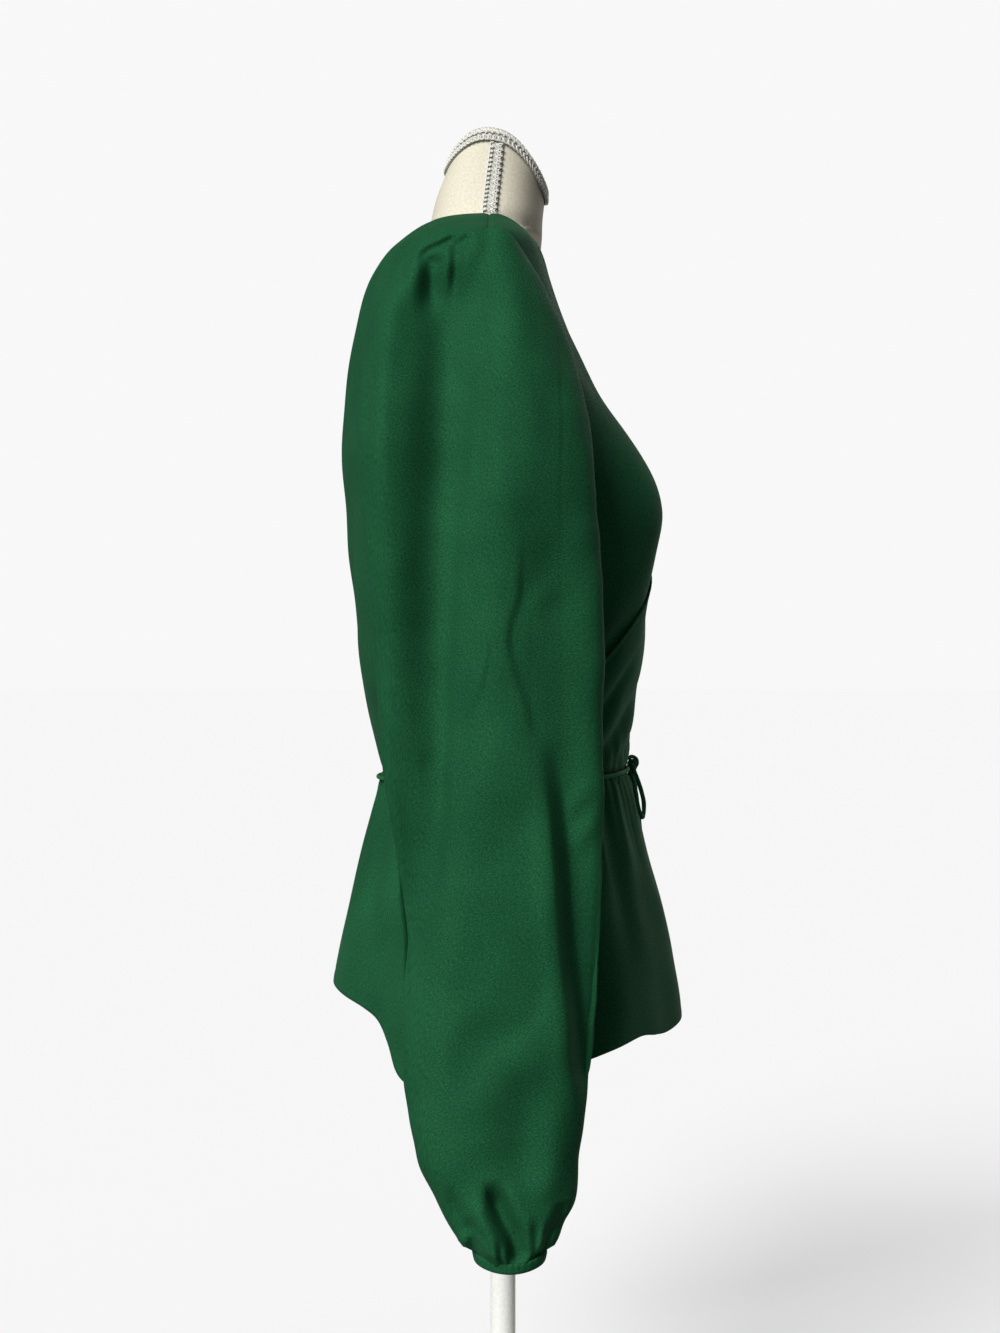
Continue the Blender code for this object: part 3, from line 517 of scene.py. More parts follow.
@dataclass
class Cloth:
    """One sewn panel as a grid of points on its outer face."""

    name: str
    points: Array
    sign: float = 1.0
    closed: bool = False
    thick: Array | float = CLOTH_THICK
    out: Array = field(init=False)

    def __post_init__(self) -> None:
        """Measure which way is out."""
        self.out = grid_normals(self.points, self.closed, self.sign)

    def move_out(self, height: Array | float) -> None:
        """Move the cloth out by a height at each point."""
        self.points = self.points + self.out * np.asarray(height)[..., None]

    def rim_distance(self, ends: str) -> Array:
        """How far each point is from a rim, measured over the cloth.

        Args:
            ends: any of first, last, left and right, separated by spaces.
        Returns:
            Metres to the nearest of those rims.
        """
        along, across = running(self.points), running(self.points, 1)
        found = {"first": along, "last": along[-1:] - along}
        found |= {"left": across, "right": across[:, -1:] - across}
        return np.minimum.reduce([found[end] for end in ends.split()])

    def sew_down(self, ends: str, sink: float = SEAM_SINK, wide: float = SEAM_WIDE) -> None:
        """Pull the cloth in along its sewn rims."""
        away = self.rim_distance(ends)
        self.move_out(-sink * np.exp(-((away / wide) ** 1.5)))

    def turn_hem(self, ends: str, tall: float = HEM_TALL) -> None:
        """Make the cloth double along its free rims, down to a soft line of stitches.

        Args:
            ends: the rims, as rim_distance takes them.
            tall: how tall the hem is.
        """
        away = self.rim_distance(ends)
        double = 1 - smooth((away - tall) / HEM_STEP)
        thick = np.broadcast_to(self.thick, away.shape)
        self.thick = thick + (HEM_THICK - CLOTH_THICK) * double
        self.move_out(STITCH_DIP * (double - bell(away - tall, STITCH_WIDE)))

    def build(self, finish: bpy.types.Material) -> bpy.types.Object:
        """Close the panel into a thin shell with rounded rims.

        Args:
            finish: its material.
        Returns:
            The new object.
        """
        out = grid_normals(self.points, self.closed, self.sign)
        inner = self.points - out * np.broadcast_to(self.thick, self.points.shape[:2])[..., None]
        rows, columns = self.points.shape[:2]
        count = rows * columns
        quads = grid_quads(rows, columns, self.closed).reshape(-1, 4)
        uv = grid_uv(self.points, self.closed).reshape(-1, 4, 2)
        faces, corners, extra = [quads, quads[:, ::-1] + count], [uv, uv[:, ::-1]], []
        start = 2 * count
        index = np.arange(count).reshape(rows, columns)
        upright = self.points.swapaxes(0, 1)
        rims = []
        for lines, numbers, turn in ((self.points, index, 1), (upright, index.T, -1)):
            rims += [(numbers[0], lines[0] - lines[1], turn), (numbers[-1], lines[-1] - lines[-2], -turn)]
            if self.closed:
                break
        flat_outer, flat_inner = self.points.reshape(-1, 3), inner.reshape(-1, 3)
        for rim, away, turn in rims:
            middle = (flat_outer[rim] + flat_inner[rim]) / 2
            half = np.linalg.norm(flat_outer[rim] - flat_inner[rim], axis=1, keepdims=True) * RIM_ROUND
            extra.append(middle + unit(away) * half)
            a0, a1 = pairs(rim, self.closed)
            b0, b1 = pairs(start + np.arange(len(rim)), self.closed)
            start += len(rim)
            for band in (np.stack([a0, b0, b1, a1], 1), np.stack([b0, a0 + count, a1 + count, b1], 1)):
                faces.append(band if turn > 0 else band[:, ::-1])
                corners.append(self._rim_uv(len(band)))
        way = -1 if self.sign < 0 else 1
        all_faces, all_uv = np.concatenate(faces)[:, ::way], np.concatenate(corners)[:, ::way]
        made = mesh_object(self.name, np.concatenate([flat_outer, flat_inner, *extra]), all_faces, all_uv)
        made.data.materials.append(finish)
        return made

    @staticmethod
    def _rim_uv(count: int) -> Array:
        """Cloth coordinates for a rim's own narrow faces, along the rim and across it.

        Args:
            count: how many faces the rim has.
        Returns:
            Two numbers for each corner of each.
        """
        run = np.arange(count)[:, None] * RIM_STEP
        left, right, low, high = run, run + RIM_STEP, 0 * run, 0 * run + RIM_WIDE
        spots = (left, low), (left, high), (right, high), (right, low)
        return np.stack([np.concatenate(spot, 1) for spot in spots], 1)


def tube(path: Array, radius: Array | float, sides: int, closed: bool = False) -> Mesh:
    """Points, quads and cloth coordinates of a round cord along a path.

    Args:
        path: its middle line, one point a row.
        radius: one number, or one for each point.
        sides: how many sides it has.
        closed: whether its end joins its start.
    Returns:
        Points, quads and coordinates for each corner.
    """
    count = len(path)
    if closed:
        run = unit(np.roll(path, -1, 0) - np.roll(path, 1, 0))
    else:
        run = unit(np.gradient(path, axis=0))
    frame = [unit(np.cross(run[0], [0.31, 0.17, 0.93]))]
    for k in range(1, count):
        frame.append(unit(frame[-1] - run[k] * (frame[-1] @ run[k])))
    across = np.array(frame)
    if closed:
        drift = unit(frame[-1] - run[0] * (frame[-1] @ run[0]))
        other = np.cross(run[0], across[0])
        twist = math.atan2(float(drift @ other), float(drift @ across[0]))
        turn = -twist * np.arange(count) / count
        side = np.cross(run, across)
        across = across * np.cos(turn)[:, None] + side * np.sin(turn)[:, None]
    up = np.cross(run, across)
    turns = 2 * math.pi * np.arange(sides) / sides
    size = np.broadcast_to(radius, (count,))[:, None, None]
    ring = across[:, None] * np.cos(turns)[None, :, None] + up[:, None] * np.sin(turns)[None, :, None]
    points = path[:, None] + ring * size
    grid = np.concatenate([points, points[:1]], 0) if closed else points
    quads = grid_quads(len(grid), sides, True).reshape(-1, 4) % (count * sides)
    uv = grid_uv(grid, True).reshape(-1, 4, 2)
    flat = points.reshape(-1, 3)
    return (flat, quads, uv) if closed else cap_tube(flat, quads, uv, path, sides)


def cap_tube(flat: Array, quads: Array, uv: Array, path: Array, sides: int) -> Mesh:
    """Close both ends of a tube with small rounded caps.

    Args:
        flat: its points.
        quads: its faces.
        uv: its coordinates.
        path: its middle line.
        sides: how many sides it has.
    Returns:
        The same three, with the caps.
    """
    extra, caps = [], []
    total = len(flat)
    for ring, away in ((0, path[0] - path[1]), (len(path) - 1, path[-1] - path[-2])):
        own = np.arange(sides) + ring * sides
        middle = path[ring]
        size = np.linalg.norm(flat[own] - middle, axis=1, keepdims=True)
        small = middle + (flat[own] - middle) * CAP_RING + unit(away)[None] * size * CAP_RISE
        tip = middle + unit(away) * size.mean() * CAP_TIP
        extra += [small, np.broadcast_to(tip, (sides, 3))]
        inner = total + np.arange(sides)
        point = total + sides + np.arange(sides)
        total += 2 * sides
        for a, b in ((own, inner), (inner, point)):
            band = np.stack([*pairs(a, True), *reversed(pairs(b, True))], 1)
            caps.append(band[:, ::-1] if ring == 0 else band)
    faces = np.concatenate([quads, *caps])
    added = np.zeros((len(faces) - len(quads), 4, 2))
    return np.concatenate([flat, *extra]), faces, np.concatenate([uv, added])


def joined(parts: Sequence[Mesh]) -> Mesh:
    """Several meshes' points, quads and coordinates as one.

    Args:
        parts: the meshes.
    Returns:
        One mesh with all their points and faces.
    """
    points, quads, uvs = zip(*parts)
    starts = np.cumsum([0] + [len(own) for own in points])
    moved = [faces + start for faces, start in zip(quads, starts)]
    return np.concatenate(points), np.concatenate(moved), np.concatenate(uvs)


def cord_object(name: str, parts: Sequence[Mesh], finish: bpy.types.Material) -> bpy.types.Object:
    """One object from tubes and bands.

    Args:
        name: of the object.
        parts: points, quads and coordinates of each.
        finish: its material.
    Returns:
        The new object, its doubles merged and its faces pointing out.
    """
    made = mesh_object(name, *joined(parts))
    shape = bmesh.new()
    shape.from_mesh(made.data)
    bmesh.ops.remove_doubles(shape, verts=shape.verts, dist=1e-7)
    bmesh.ops.recalc_face_normals(shape, faces=shape.faces)
    shape.to_mesh(made.data)
    shape.free()
    made.data.materials.append(finish)
    return made


def activate(piece: bpy.types.Object | None) -> None:
    """Leave object mode with one object selected alone, or none.

    Args:
        piece: the object to select, if any.
    """
    if bpy.context.object and bpy.context.object.mode != "OBJECT":
        bpy.ops.object.mode_set(mode="OBJECT")
    bpy.ops.object.select_all(action="DESELECT")
    if piece:
        piece.select_set(True)
        bpy.context.view_layer.objects.active = piece


def place_in_mesh(piece: bpy.types.Object) -> None:
    """Put an object's place into its mesh, so that the object sits at the origin."""
    activate(piece)
    bpy.ops.object.transform_apply(location=True, rotation=True, scale=True)


def round_edges(piece: bpy.types.Object, kind: str, **settings: object) -> None:
    """Apply one modifier of a kind to the active object, with its settings.

    Args:
        piece: the active object.
        kind: of modifier.
        settings: its attributes.
    """
    made = piece.modifiers.new("round", kind)
    for name, value in settings.items():
        setattr(made, name, value)
    bpy.ops.object.modifier_apply(modifier=made.name)


# ---------------------------------------------------------------- finishes


def linear(hex_colour: str) -> tuple[float, float, float, float]:
    """An sRGB hex colour as linear light, with full opacity.

    Args:
        hex_colour: a # and six digits.
    Returns:
        Red, green, blue and 1.
    """
    parts = [int(hex_colour[k : k + 2], 16) / 255 for k in (1, 3, 5)]
    red, green, blue = (c / 12.92 if c <= 0.04045 else ((c + 0.055) / 1.055) ** 2.4 for c in parts)
    return red, green, blue, 1.0


def set_node(node: bpy.types.Node, settings: dict, links: dict) -> None:
    """Give a node its settings and links, as add_node takes them.

    Args:
        node: the node.
        settings: its attributes, or its inputs by name or number where it has such an input.
        links: what to join to its inputs, by name or number.
    """
    for key, value in settings.items():
        if isinstance(key, str) and hasattr(node, key):
            setattr(node, key, value)
        else:
            node.inputs[key].default_value = value
    for key, source in links.items():
        socket = source.outputs[0] if isinstance(source, bpy.types.Node) else source
        node.id_data.links.new(socket, node.inputs[key])


def add_node(tree: bpy.types.NodeTree, kind: str, settings: dict, **links: Source) -> bpy.types.Node:
    """Add one node.

    Args:
        tree: where it goes.
        kind: its type, without the words that every type starts with.
        settings: its attributes, or its inputs by name or number where it has such an input.
        links: what to join to its inputs, by name, or by _ and number.
    Returns:
        The new node.
    """
    node = tree.nodes.new("ShaderNode" + kind)
    set_node(node, settings, {int(k[1:]) if k[0] == "_" else k: v for k, v in links.items()})
    return node


def new_material(name: str) -> tuple[bpy.types.Material, bpy.types.NodeTree, bpy.types.Node]:
    """An empty material with its shader.

    Args:
        name: of the material.
    Returns:
        The material, its tree and its Principled shader.
    """
    made = bpy.data.materials.new(name)
    made.use_nodes = True
    return made, made.node_tree, made.node_tree.nodes["Principled BSDF"]


def join_pattern(
    shader: bpy.types.Node, tone: Source, stops: dict[float, str], height: Source, bump: tuple[float, float],
    settings: dict,
) -> None:
    """Join a pattern to a shader, as colour and as relief.

    Args:
        shader: the material's shader.
        tone: the pattern that picks the colour.
        stops: colours from dark to light, by the tone that they stand for.
        height: the pattern that raises the surface.
        bump: how strongly, and how high in mm.
        settings: the shader's other inputs.
    """
    tree = shader.id_data
    ramp = add_node(tree, "ValToRGB", {}, Fac=tone)
    marks, places = ramp.color_ramp.elements, list(stops)
    marks[0].position, marks[1].position = places[0], places[-1]
    for place in places[1:-1]:
        marks.new(place)
    for mark, colour in zip(marks, stops.values()):
        mark.color = linear(colour)
    relief = add_node(tree, "Bump", {"Strength": bump[0], "Distance": bump[1] * MM}, Height=height)
    set_node(shader, settings, {"Base Color": ramp, "Normal": relief})


@dataclass(frozen=True)
class CrepeFinish:
    """Polyester crepe, woven from over-twisted yarn. The yarn's crimp gives a pebbly matte face with short
    slubs that lie across the grain, and a faint bloom where it turns away. Its colour is painted darker in
    the pebbles' dips and lighter on their tops, a painted shade and highlight, under a cloudy tone of its
    own."""

    name: str = "polyester_crepe"
    dark: str = "#0C3620"
    mid: str = "#184D2F"
    light: str = "#25643F"
    bloom: str = "#7FBF97"
    pebble_mm: float = 0.85  # the real crimp is about 0.6 mm; drawn coarser so that it shows
    slub_long: float = 2.2
    slub_turn: float = math.radians(38)
    bump_mm: float = 0.36
    roughness: float = 0.82

    def make(self) -> bpy.types.Material:
        """Build the material from the cloth coordinates of each panel.

        Returns:
            The material.
        """
        made, tree, shader = new_material(self.name)
        uv = add_node(tree, "UVMap", {"uv_map": "cloth"})
        turned = add_node(tree, "Mapping", {"Rotation": (0.0, 0.0, self.slub_turn)}, Vector=uv)
        pitch = 1000 / self.pebble_mm
        long = add_node(tree, "Mapping", {"Scale": (pitch / self.slub_long, pitch, pitch)}, Vector=turned)
        grain = {"Scale": 1.0, "Detail": 2.5, "Roughness": 0.7, "Distortion": 0.1}
        pebble = add_node(tree, "TexNoise", grain, Vector=long)
        place = add_node(tree, "TexCoord", {}).outputs["Object"]
        cloudy = add_node(tree, "TexNoise", {"Scale": 14.0, "Detail": 3.0, "Roughness": 0.55}, Vector=place)
        blend = add_node(tree, "Math", {"operation": "MULTIPLY_ADD", 1: 0.30}, _0=cloudy, _2=pebble)
        # painted shade and highlight: the pebble relief's dips take the dark green and its tops the light
        # green; the cloudy noise is the cloth's own uneven tone
        stops = {0.42: self.dark, 0.66: self.mid, 0.90: self.light}
        join_pattern(shader, blend, stops, pebble, (0.75, self.bump_mm), {
            "Roughness": self.roughness, "Specular IOR Level": 0.06, "Sheen Weight": 0.02,
            "Sheen Roughness": 0.5, "Sheen Tint": linear(self.bloom),
        })
        return made


@dataclass(frozen=True)
class LinenFinish:
    """Unbleached linen pulled tight over a padded form. Uneven flax threads give a fine
    square weave with a thicker thread here and there."""

    name: str = "cream_linen"
    warm: str = "#CDC6B2"
    pale: str = "#E2DCC9"
    thread_mm: float = 0.9  # the real thread is 0.4 mm; drawn coarser so that it shows
    bump_mm: float = 0.10
    roughness: float = 0.9

    def make(self) -> bpy.types.Material:
        """Build the material from cloth coordinates round and up the form.

        Returns:
            The material.
        """
        made, tree, shader = new_material(self.name)
        uv = add_node(tree, "UVMap", {"uv_map": "cloth"})
        thread = {"Scale": 1000 / self.thread_mm / (2 * math.pi) * 2, "Distortion": 1.3, "Detail": 1.0}
        thread["Detail Scale"] = 0.6
        warp, weft = (
            add_node(tree, "TexWave", thread | {"bands_direction": way}, Vector=uv).outputs["Fac"]
            for way in ("X", "Y")
        )
        weave = add_node(tree, "Math", {"operation": "MULTIPLY"}, _0=warp, _1=weft)
        slub = add_node(tree, "TexNoise", {"Scale": 520.0, "Detail": 3.0}, Vector=uv)
        blend = add_node(tree, "Math", {"operation": "MULTIPLY_ADD", 1: 0.45}, _0=weave, _2=slub)
        rough = {"Roughness": self.roughness, "Specular IOR Level": 0.2}
        join_pattern(shader, blend, {0.35: self.warm, 0.85: self.pale}, blend, (0.6, self.bump_mm), rough)
        return made


@dataclass(frozen=True)
class BraidFinish:
    """Gimp braid of rayon floss spun round a core. The floss is silvery white and softly lustrous, and its
    windings show as fine slanting lines whose grooves take the shade colour, a painted shade."""

    name: str
    pale: str
    shade: str
    winding_mm: float = 0.7  # the real winding is 0.25 mm; drawn coarser so that it shows
    bump_mm: float = 0.1
    roughness: float = 0.42

    def make(self) -> bpy.types.Material:
        """Build the material from the coordinates along each cord.

        Returns:
            The material.
        """
        made, tree, shader = new_material(self.name)
        uv = add_node(tree, "UVMap", {"uv_map": "cloth"})
        turns = {"Scale": 1000 / self.winding_mm / (2 * math.pi), "Distortion": 0.8}
        wave = add_node(tree, "TexWave", turns | {"bands_direction": "DIAGONAL"}, Vector=uv)
        winding = wave.outputs["Fac"]
        # painted shade: the winding's grooves take the darker colour and its crests the pale one
        stops = {0.1: self.shade, 0.8: self.pale}
        lustre = {"Roughness": self.roughness, "Sheen Weight": 0.2}
        join_pattern(shader, winding, stops, winding, (0.5, self.bump_mm), lustre)
        return made


@dataclass(frozen=True)
class PaintFinish:
    """Powder-coated steel: satin white with the faint orange peel of baked powder."""

    name: str = "powder_coated_steel"
    colour: str = "#E6E6E2"
    shade: str = "#DCDCD7"
    peel_mm: float = 2.5
    bump_mm: float = 0.1
    roughness: float = 0.38

    def make(self) -> bpy.types.Material:
        """Build the material in the piece's own space.

        Returns:
            The material.
        """
        made, tree, shader = new_material(self.name)
        place = add_node(tree, "TexCoord", {}).outputs["Object"]
        peel = add_node(tree, "TexNoise", {"Scale": 1000 / self.peel_mm, "Detail": 1.0}, Vector=place)
        stops = {0.3: self.shade, 0.7: self.colour}
        join_pattern(shader, peel, stops, peel, (0.12, self.bump_mm), {"Roughness": self.roughness})
        return made


@dataclass(frozen=True)
class Finishes:
    """Every material of the object, made once."""

    crepe: bpy.types.Material
    rouleau: bpy.types.Material
    linen: bpy.types.Material
    braid: bpy.types.Material
    tape: bpy.types.Material
    paint: bpy.types.Material

    @classmethod
    def make(cls) -> Finishes:
        """Make them all.

        Returns:
            The set of them.
        """
        return cls(
            crepe=CrepeFinish().make(),
            rouleau=CrepeFinish(name="crepe_rouleau", pebble_mm=0.9, mid="#23643F", bump_mm=0.15).make(),
            linen=LinenFinish().make(),
            braid=BraidFinish("rayon_gimp", "#F1F0E9", "#CFCDC4").make(),
            # painted shade: the braid ground's grey stands for the shadow between the gimp's loops
            tape=BraidFinish("braid_ground", "#C9C7BD", "#A4A298").make(),
            paint=PaintFinish().make(),
        )


WORDS = {"crepe": "cloth", "rouleau": "cord", "linen": "cover", "braid": "gimp", "painted_steel": "steel"}


def dress(piece: bpy.types.Object, slot: str, *nodes: str) -> bpy.types.Object:
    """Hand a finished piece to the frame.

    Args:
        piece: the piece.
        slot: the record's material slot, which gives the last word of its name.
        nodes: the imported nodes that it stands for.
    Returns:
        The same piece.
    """
    piece.name = piece.data.name = f"{nodes[0]}_{WORDS[slot]}"
    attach(piece, "root")
    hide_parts(*nodes)
    log.info("%s: %d faces, stands for %s", piece.name, len(piece.data.polygons), ", ".join(nodes))
    return piece


# ---------------------------------------------------------------- the body that the cloth lies on


@dataclass(frozen=True)
class Torso:
    """The surface under the bodice, with its bust, armholes and wrap edges."""

    rings: Rings = Rings(TORSO)
    bust_out: float = 0.0325
    bust_x: float = 0.074
    bust_rise: float = 0.179
    bust_wide: float = 0.042
    bust_tall: float = 0.046
    crossing_rise: float = 0.163
    wrap_end_rise: float = 0.012
    over_reach: float = math.radians(86)
    under_reach: float = math.radians(60)
    crossing_ease: float = 0.020  # the edge turns softly over this much height
    lift_high: float = 0.0018  # the upper layer lies close on the one under it
    lift_lead: float = math.radians(23)
    lift_ramp: float = math.radians(11)
    armhole_top: float = 0.358
    armhole_foot: float = 0.215
    inset_front: float = 0.028
    inset_back: float = 0.030
    hollow_front: float = 3.0
    hollow_back: float = 6.0

    @property
    def top(self) -> float:
        """The level of the neck side."""
        return float(len(self.rings.rows) - 1)

    @property
    def armhole_middle(self) -> float:
        """The armhole's mean rise."""
        return (self.armhole_top + self.armhole_foot) / 2

    @property
    def armhole_half(self) -> float:
        """Half the armhole's height."""
        return (self.armhole_top - self.armhole_foot) / 2

    def point(self, angle: Array, level: Array) -> Array:
        """Points of the surface.

        Args:
            angle: round the body.
            level: of the rings.
        Returns:
            The points.
        """
        row = self.rings.at(level)
        x, y = ring_xy(row, angle)
        both = bell(x - self.bust_x, self.bust_wide) + bell(x + self.bust_x, self.bust_wide)
        tall = bell(row[..., 0] - self.bust_rise, self.bust_tall)
        y = y - self.bust_out * both * tall * smooth(np.cos(angle) * 2)
        return np.stack(np.broadcast_arrays(x, y, WAIST_Z + row[..., 0]), -1)

    def normal(self, angle: Array, level: Array) -> Array:
        """Outward directions, level with the floor at the waist.

        Args:
            angle: round the body.
            level: of the rings.
        Returns:
            Unit vectors.
        """
        step = 0.02
        across = self.point(angle + step, level) - self.point(angle - step, level)
        along = self.point(angle, np.minimum(level + step, self.top)) - self.point(angle, level - step)
        normal = unit(np.cross(across, along))
        normal[..., 2] *= smooth(level)
        return unit(normal)

    def outside(self, angle: Array, level: Array, out: Array | float) -> Array:
        """Points that stand off the surface."""
        angle, level = np.broadcast_arrays(np.asarray(angle, float), np.asarray(level, float))
        return self.point(angle, level) + self.normal(angle, level) * np.asarray(out)[..., None]

    def raw_wrap_edge(self, rise: Array, reach: float) -> Array:
        """How far past the centre a front reaches, with a corner where the fronts cross.

        Args:
            rise: over the waist seam.
            reach: how far past the centre the front goes at the waist, as an angle.
        Returns:
            Angles, negative on the front's own side.
        """
        rise = np.minimum(rise, self.rings.rows[-1][0])
        below = reach * (self.crossing_rise - rise) / (self.crossing_rise - self.wrap_end_rise)
        wide = self.rings.at(self.rings.level(rise))[..., 1]
        share = (rise - self.crossing_rise) / (self.rings.rows[-1][0] - self.crossing_rise)
        sine = np.clip(self.rings.rows[-1][1] * np.clip(share, 0, 1) / wide, 0, 1)
        return np.where(rise <= self.crossing_rise, below, -np.arcsin(sine ** (1 / SQUARENESS)))

    def wrap_edge(self, rise: Array, reach: float) -> Array:
        """The same with the corner eased: negative on the front's own side.

        Args:
            rise: over the waist seam.
            reach: how far past the centre the front goes at the waist, as an angle.
        Returns:
            Angles, negative on the front's own side.
        """
        rise = np.asarray(rise, float)
        plain = self.raw_wrap_edge(rise, reach)
        steps = np.linspace(-0.7, 0.7, 9) * self.crossing_ease
        eased = np.mean([self.raw_wrap_edge(rise + s, reach) for s in steps], axis=0)
        near = smooth(2 - np.abs(rise - self.crossing_rise) / self.crossing_ease)
        return plain + (eased - plain) * near

    def armhole_angle(self, rise: Array, inset: float, hollow: float) -> Array:
        """Where the armhole cuts a body ring, from the front or back centre.

        Args:
            rise: over the waist seam.
            inset: how far it cuts in at its middle.
            hollow: how square its curve is.
        Returns:
            Angles, which are a quarter turn above and below it.
        """
        rise = np.asarray(rise, float)
        inside = (rise > self.armhole_foot) & (rise < self.armhole_top)
        wide = self.rings.at(self.rings.level(rise))[..., 1]
        bow = 1 - np.abs((rise - self.armhole_middle) / self.armhole_half) ** hollow
        share = np.clip((wide - inset * np.clip(bow, 0, 1)) / wide, 0, 1)
        return np.where(inside, np.arcsin(share ** (1 / SQUARENESS)), QUARTER)

    def lift(self, angle: Array, rise: Array) -> Array:
        """How far the left front stands out to clear the right front under it."""
        under = self.raw_wrap_edge(np.asarray(rise, float), self.under_reach)
        return self.lift_high * smooth((under + self.lift_lead - angle) / self.lift_ramp)

    def even_levels(self, count: int, top: float) -> Array:
        """Levels that stand evenly apart over the cloth.

        Args:
            count: how many.
            top: the last of them.
        Returns:
            Levels from the waist to the top.
        """
        dense = np.linspace(0, top, LINE_POINTS)
        lines = [self.point(np.full(LINE_POINTS, a), dense) for a in (QUARTER, HALF_TURN, 0.0)]
        steps = np.max([np.diff(running(line)) for line in lines], axis=0)
        run = np.concatenate([[0.0], np.cumsum(steps)])
        return np.interp(np.linspace(0, run[-1], count), run, dense)


TORSO_SHAPE = Torso()


def no_lift(angle: Array, rise: Array) -> Array:
    """A lift of nought, for a panel that lies on the body."""
    return np.zeros(angle.shape)


# ---------------------------------------------------------------- bodice


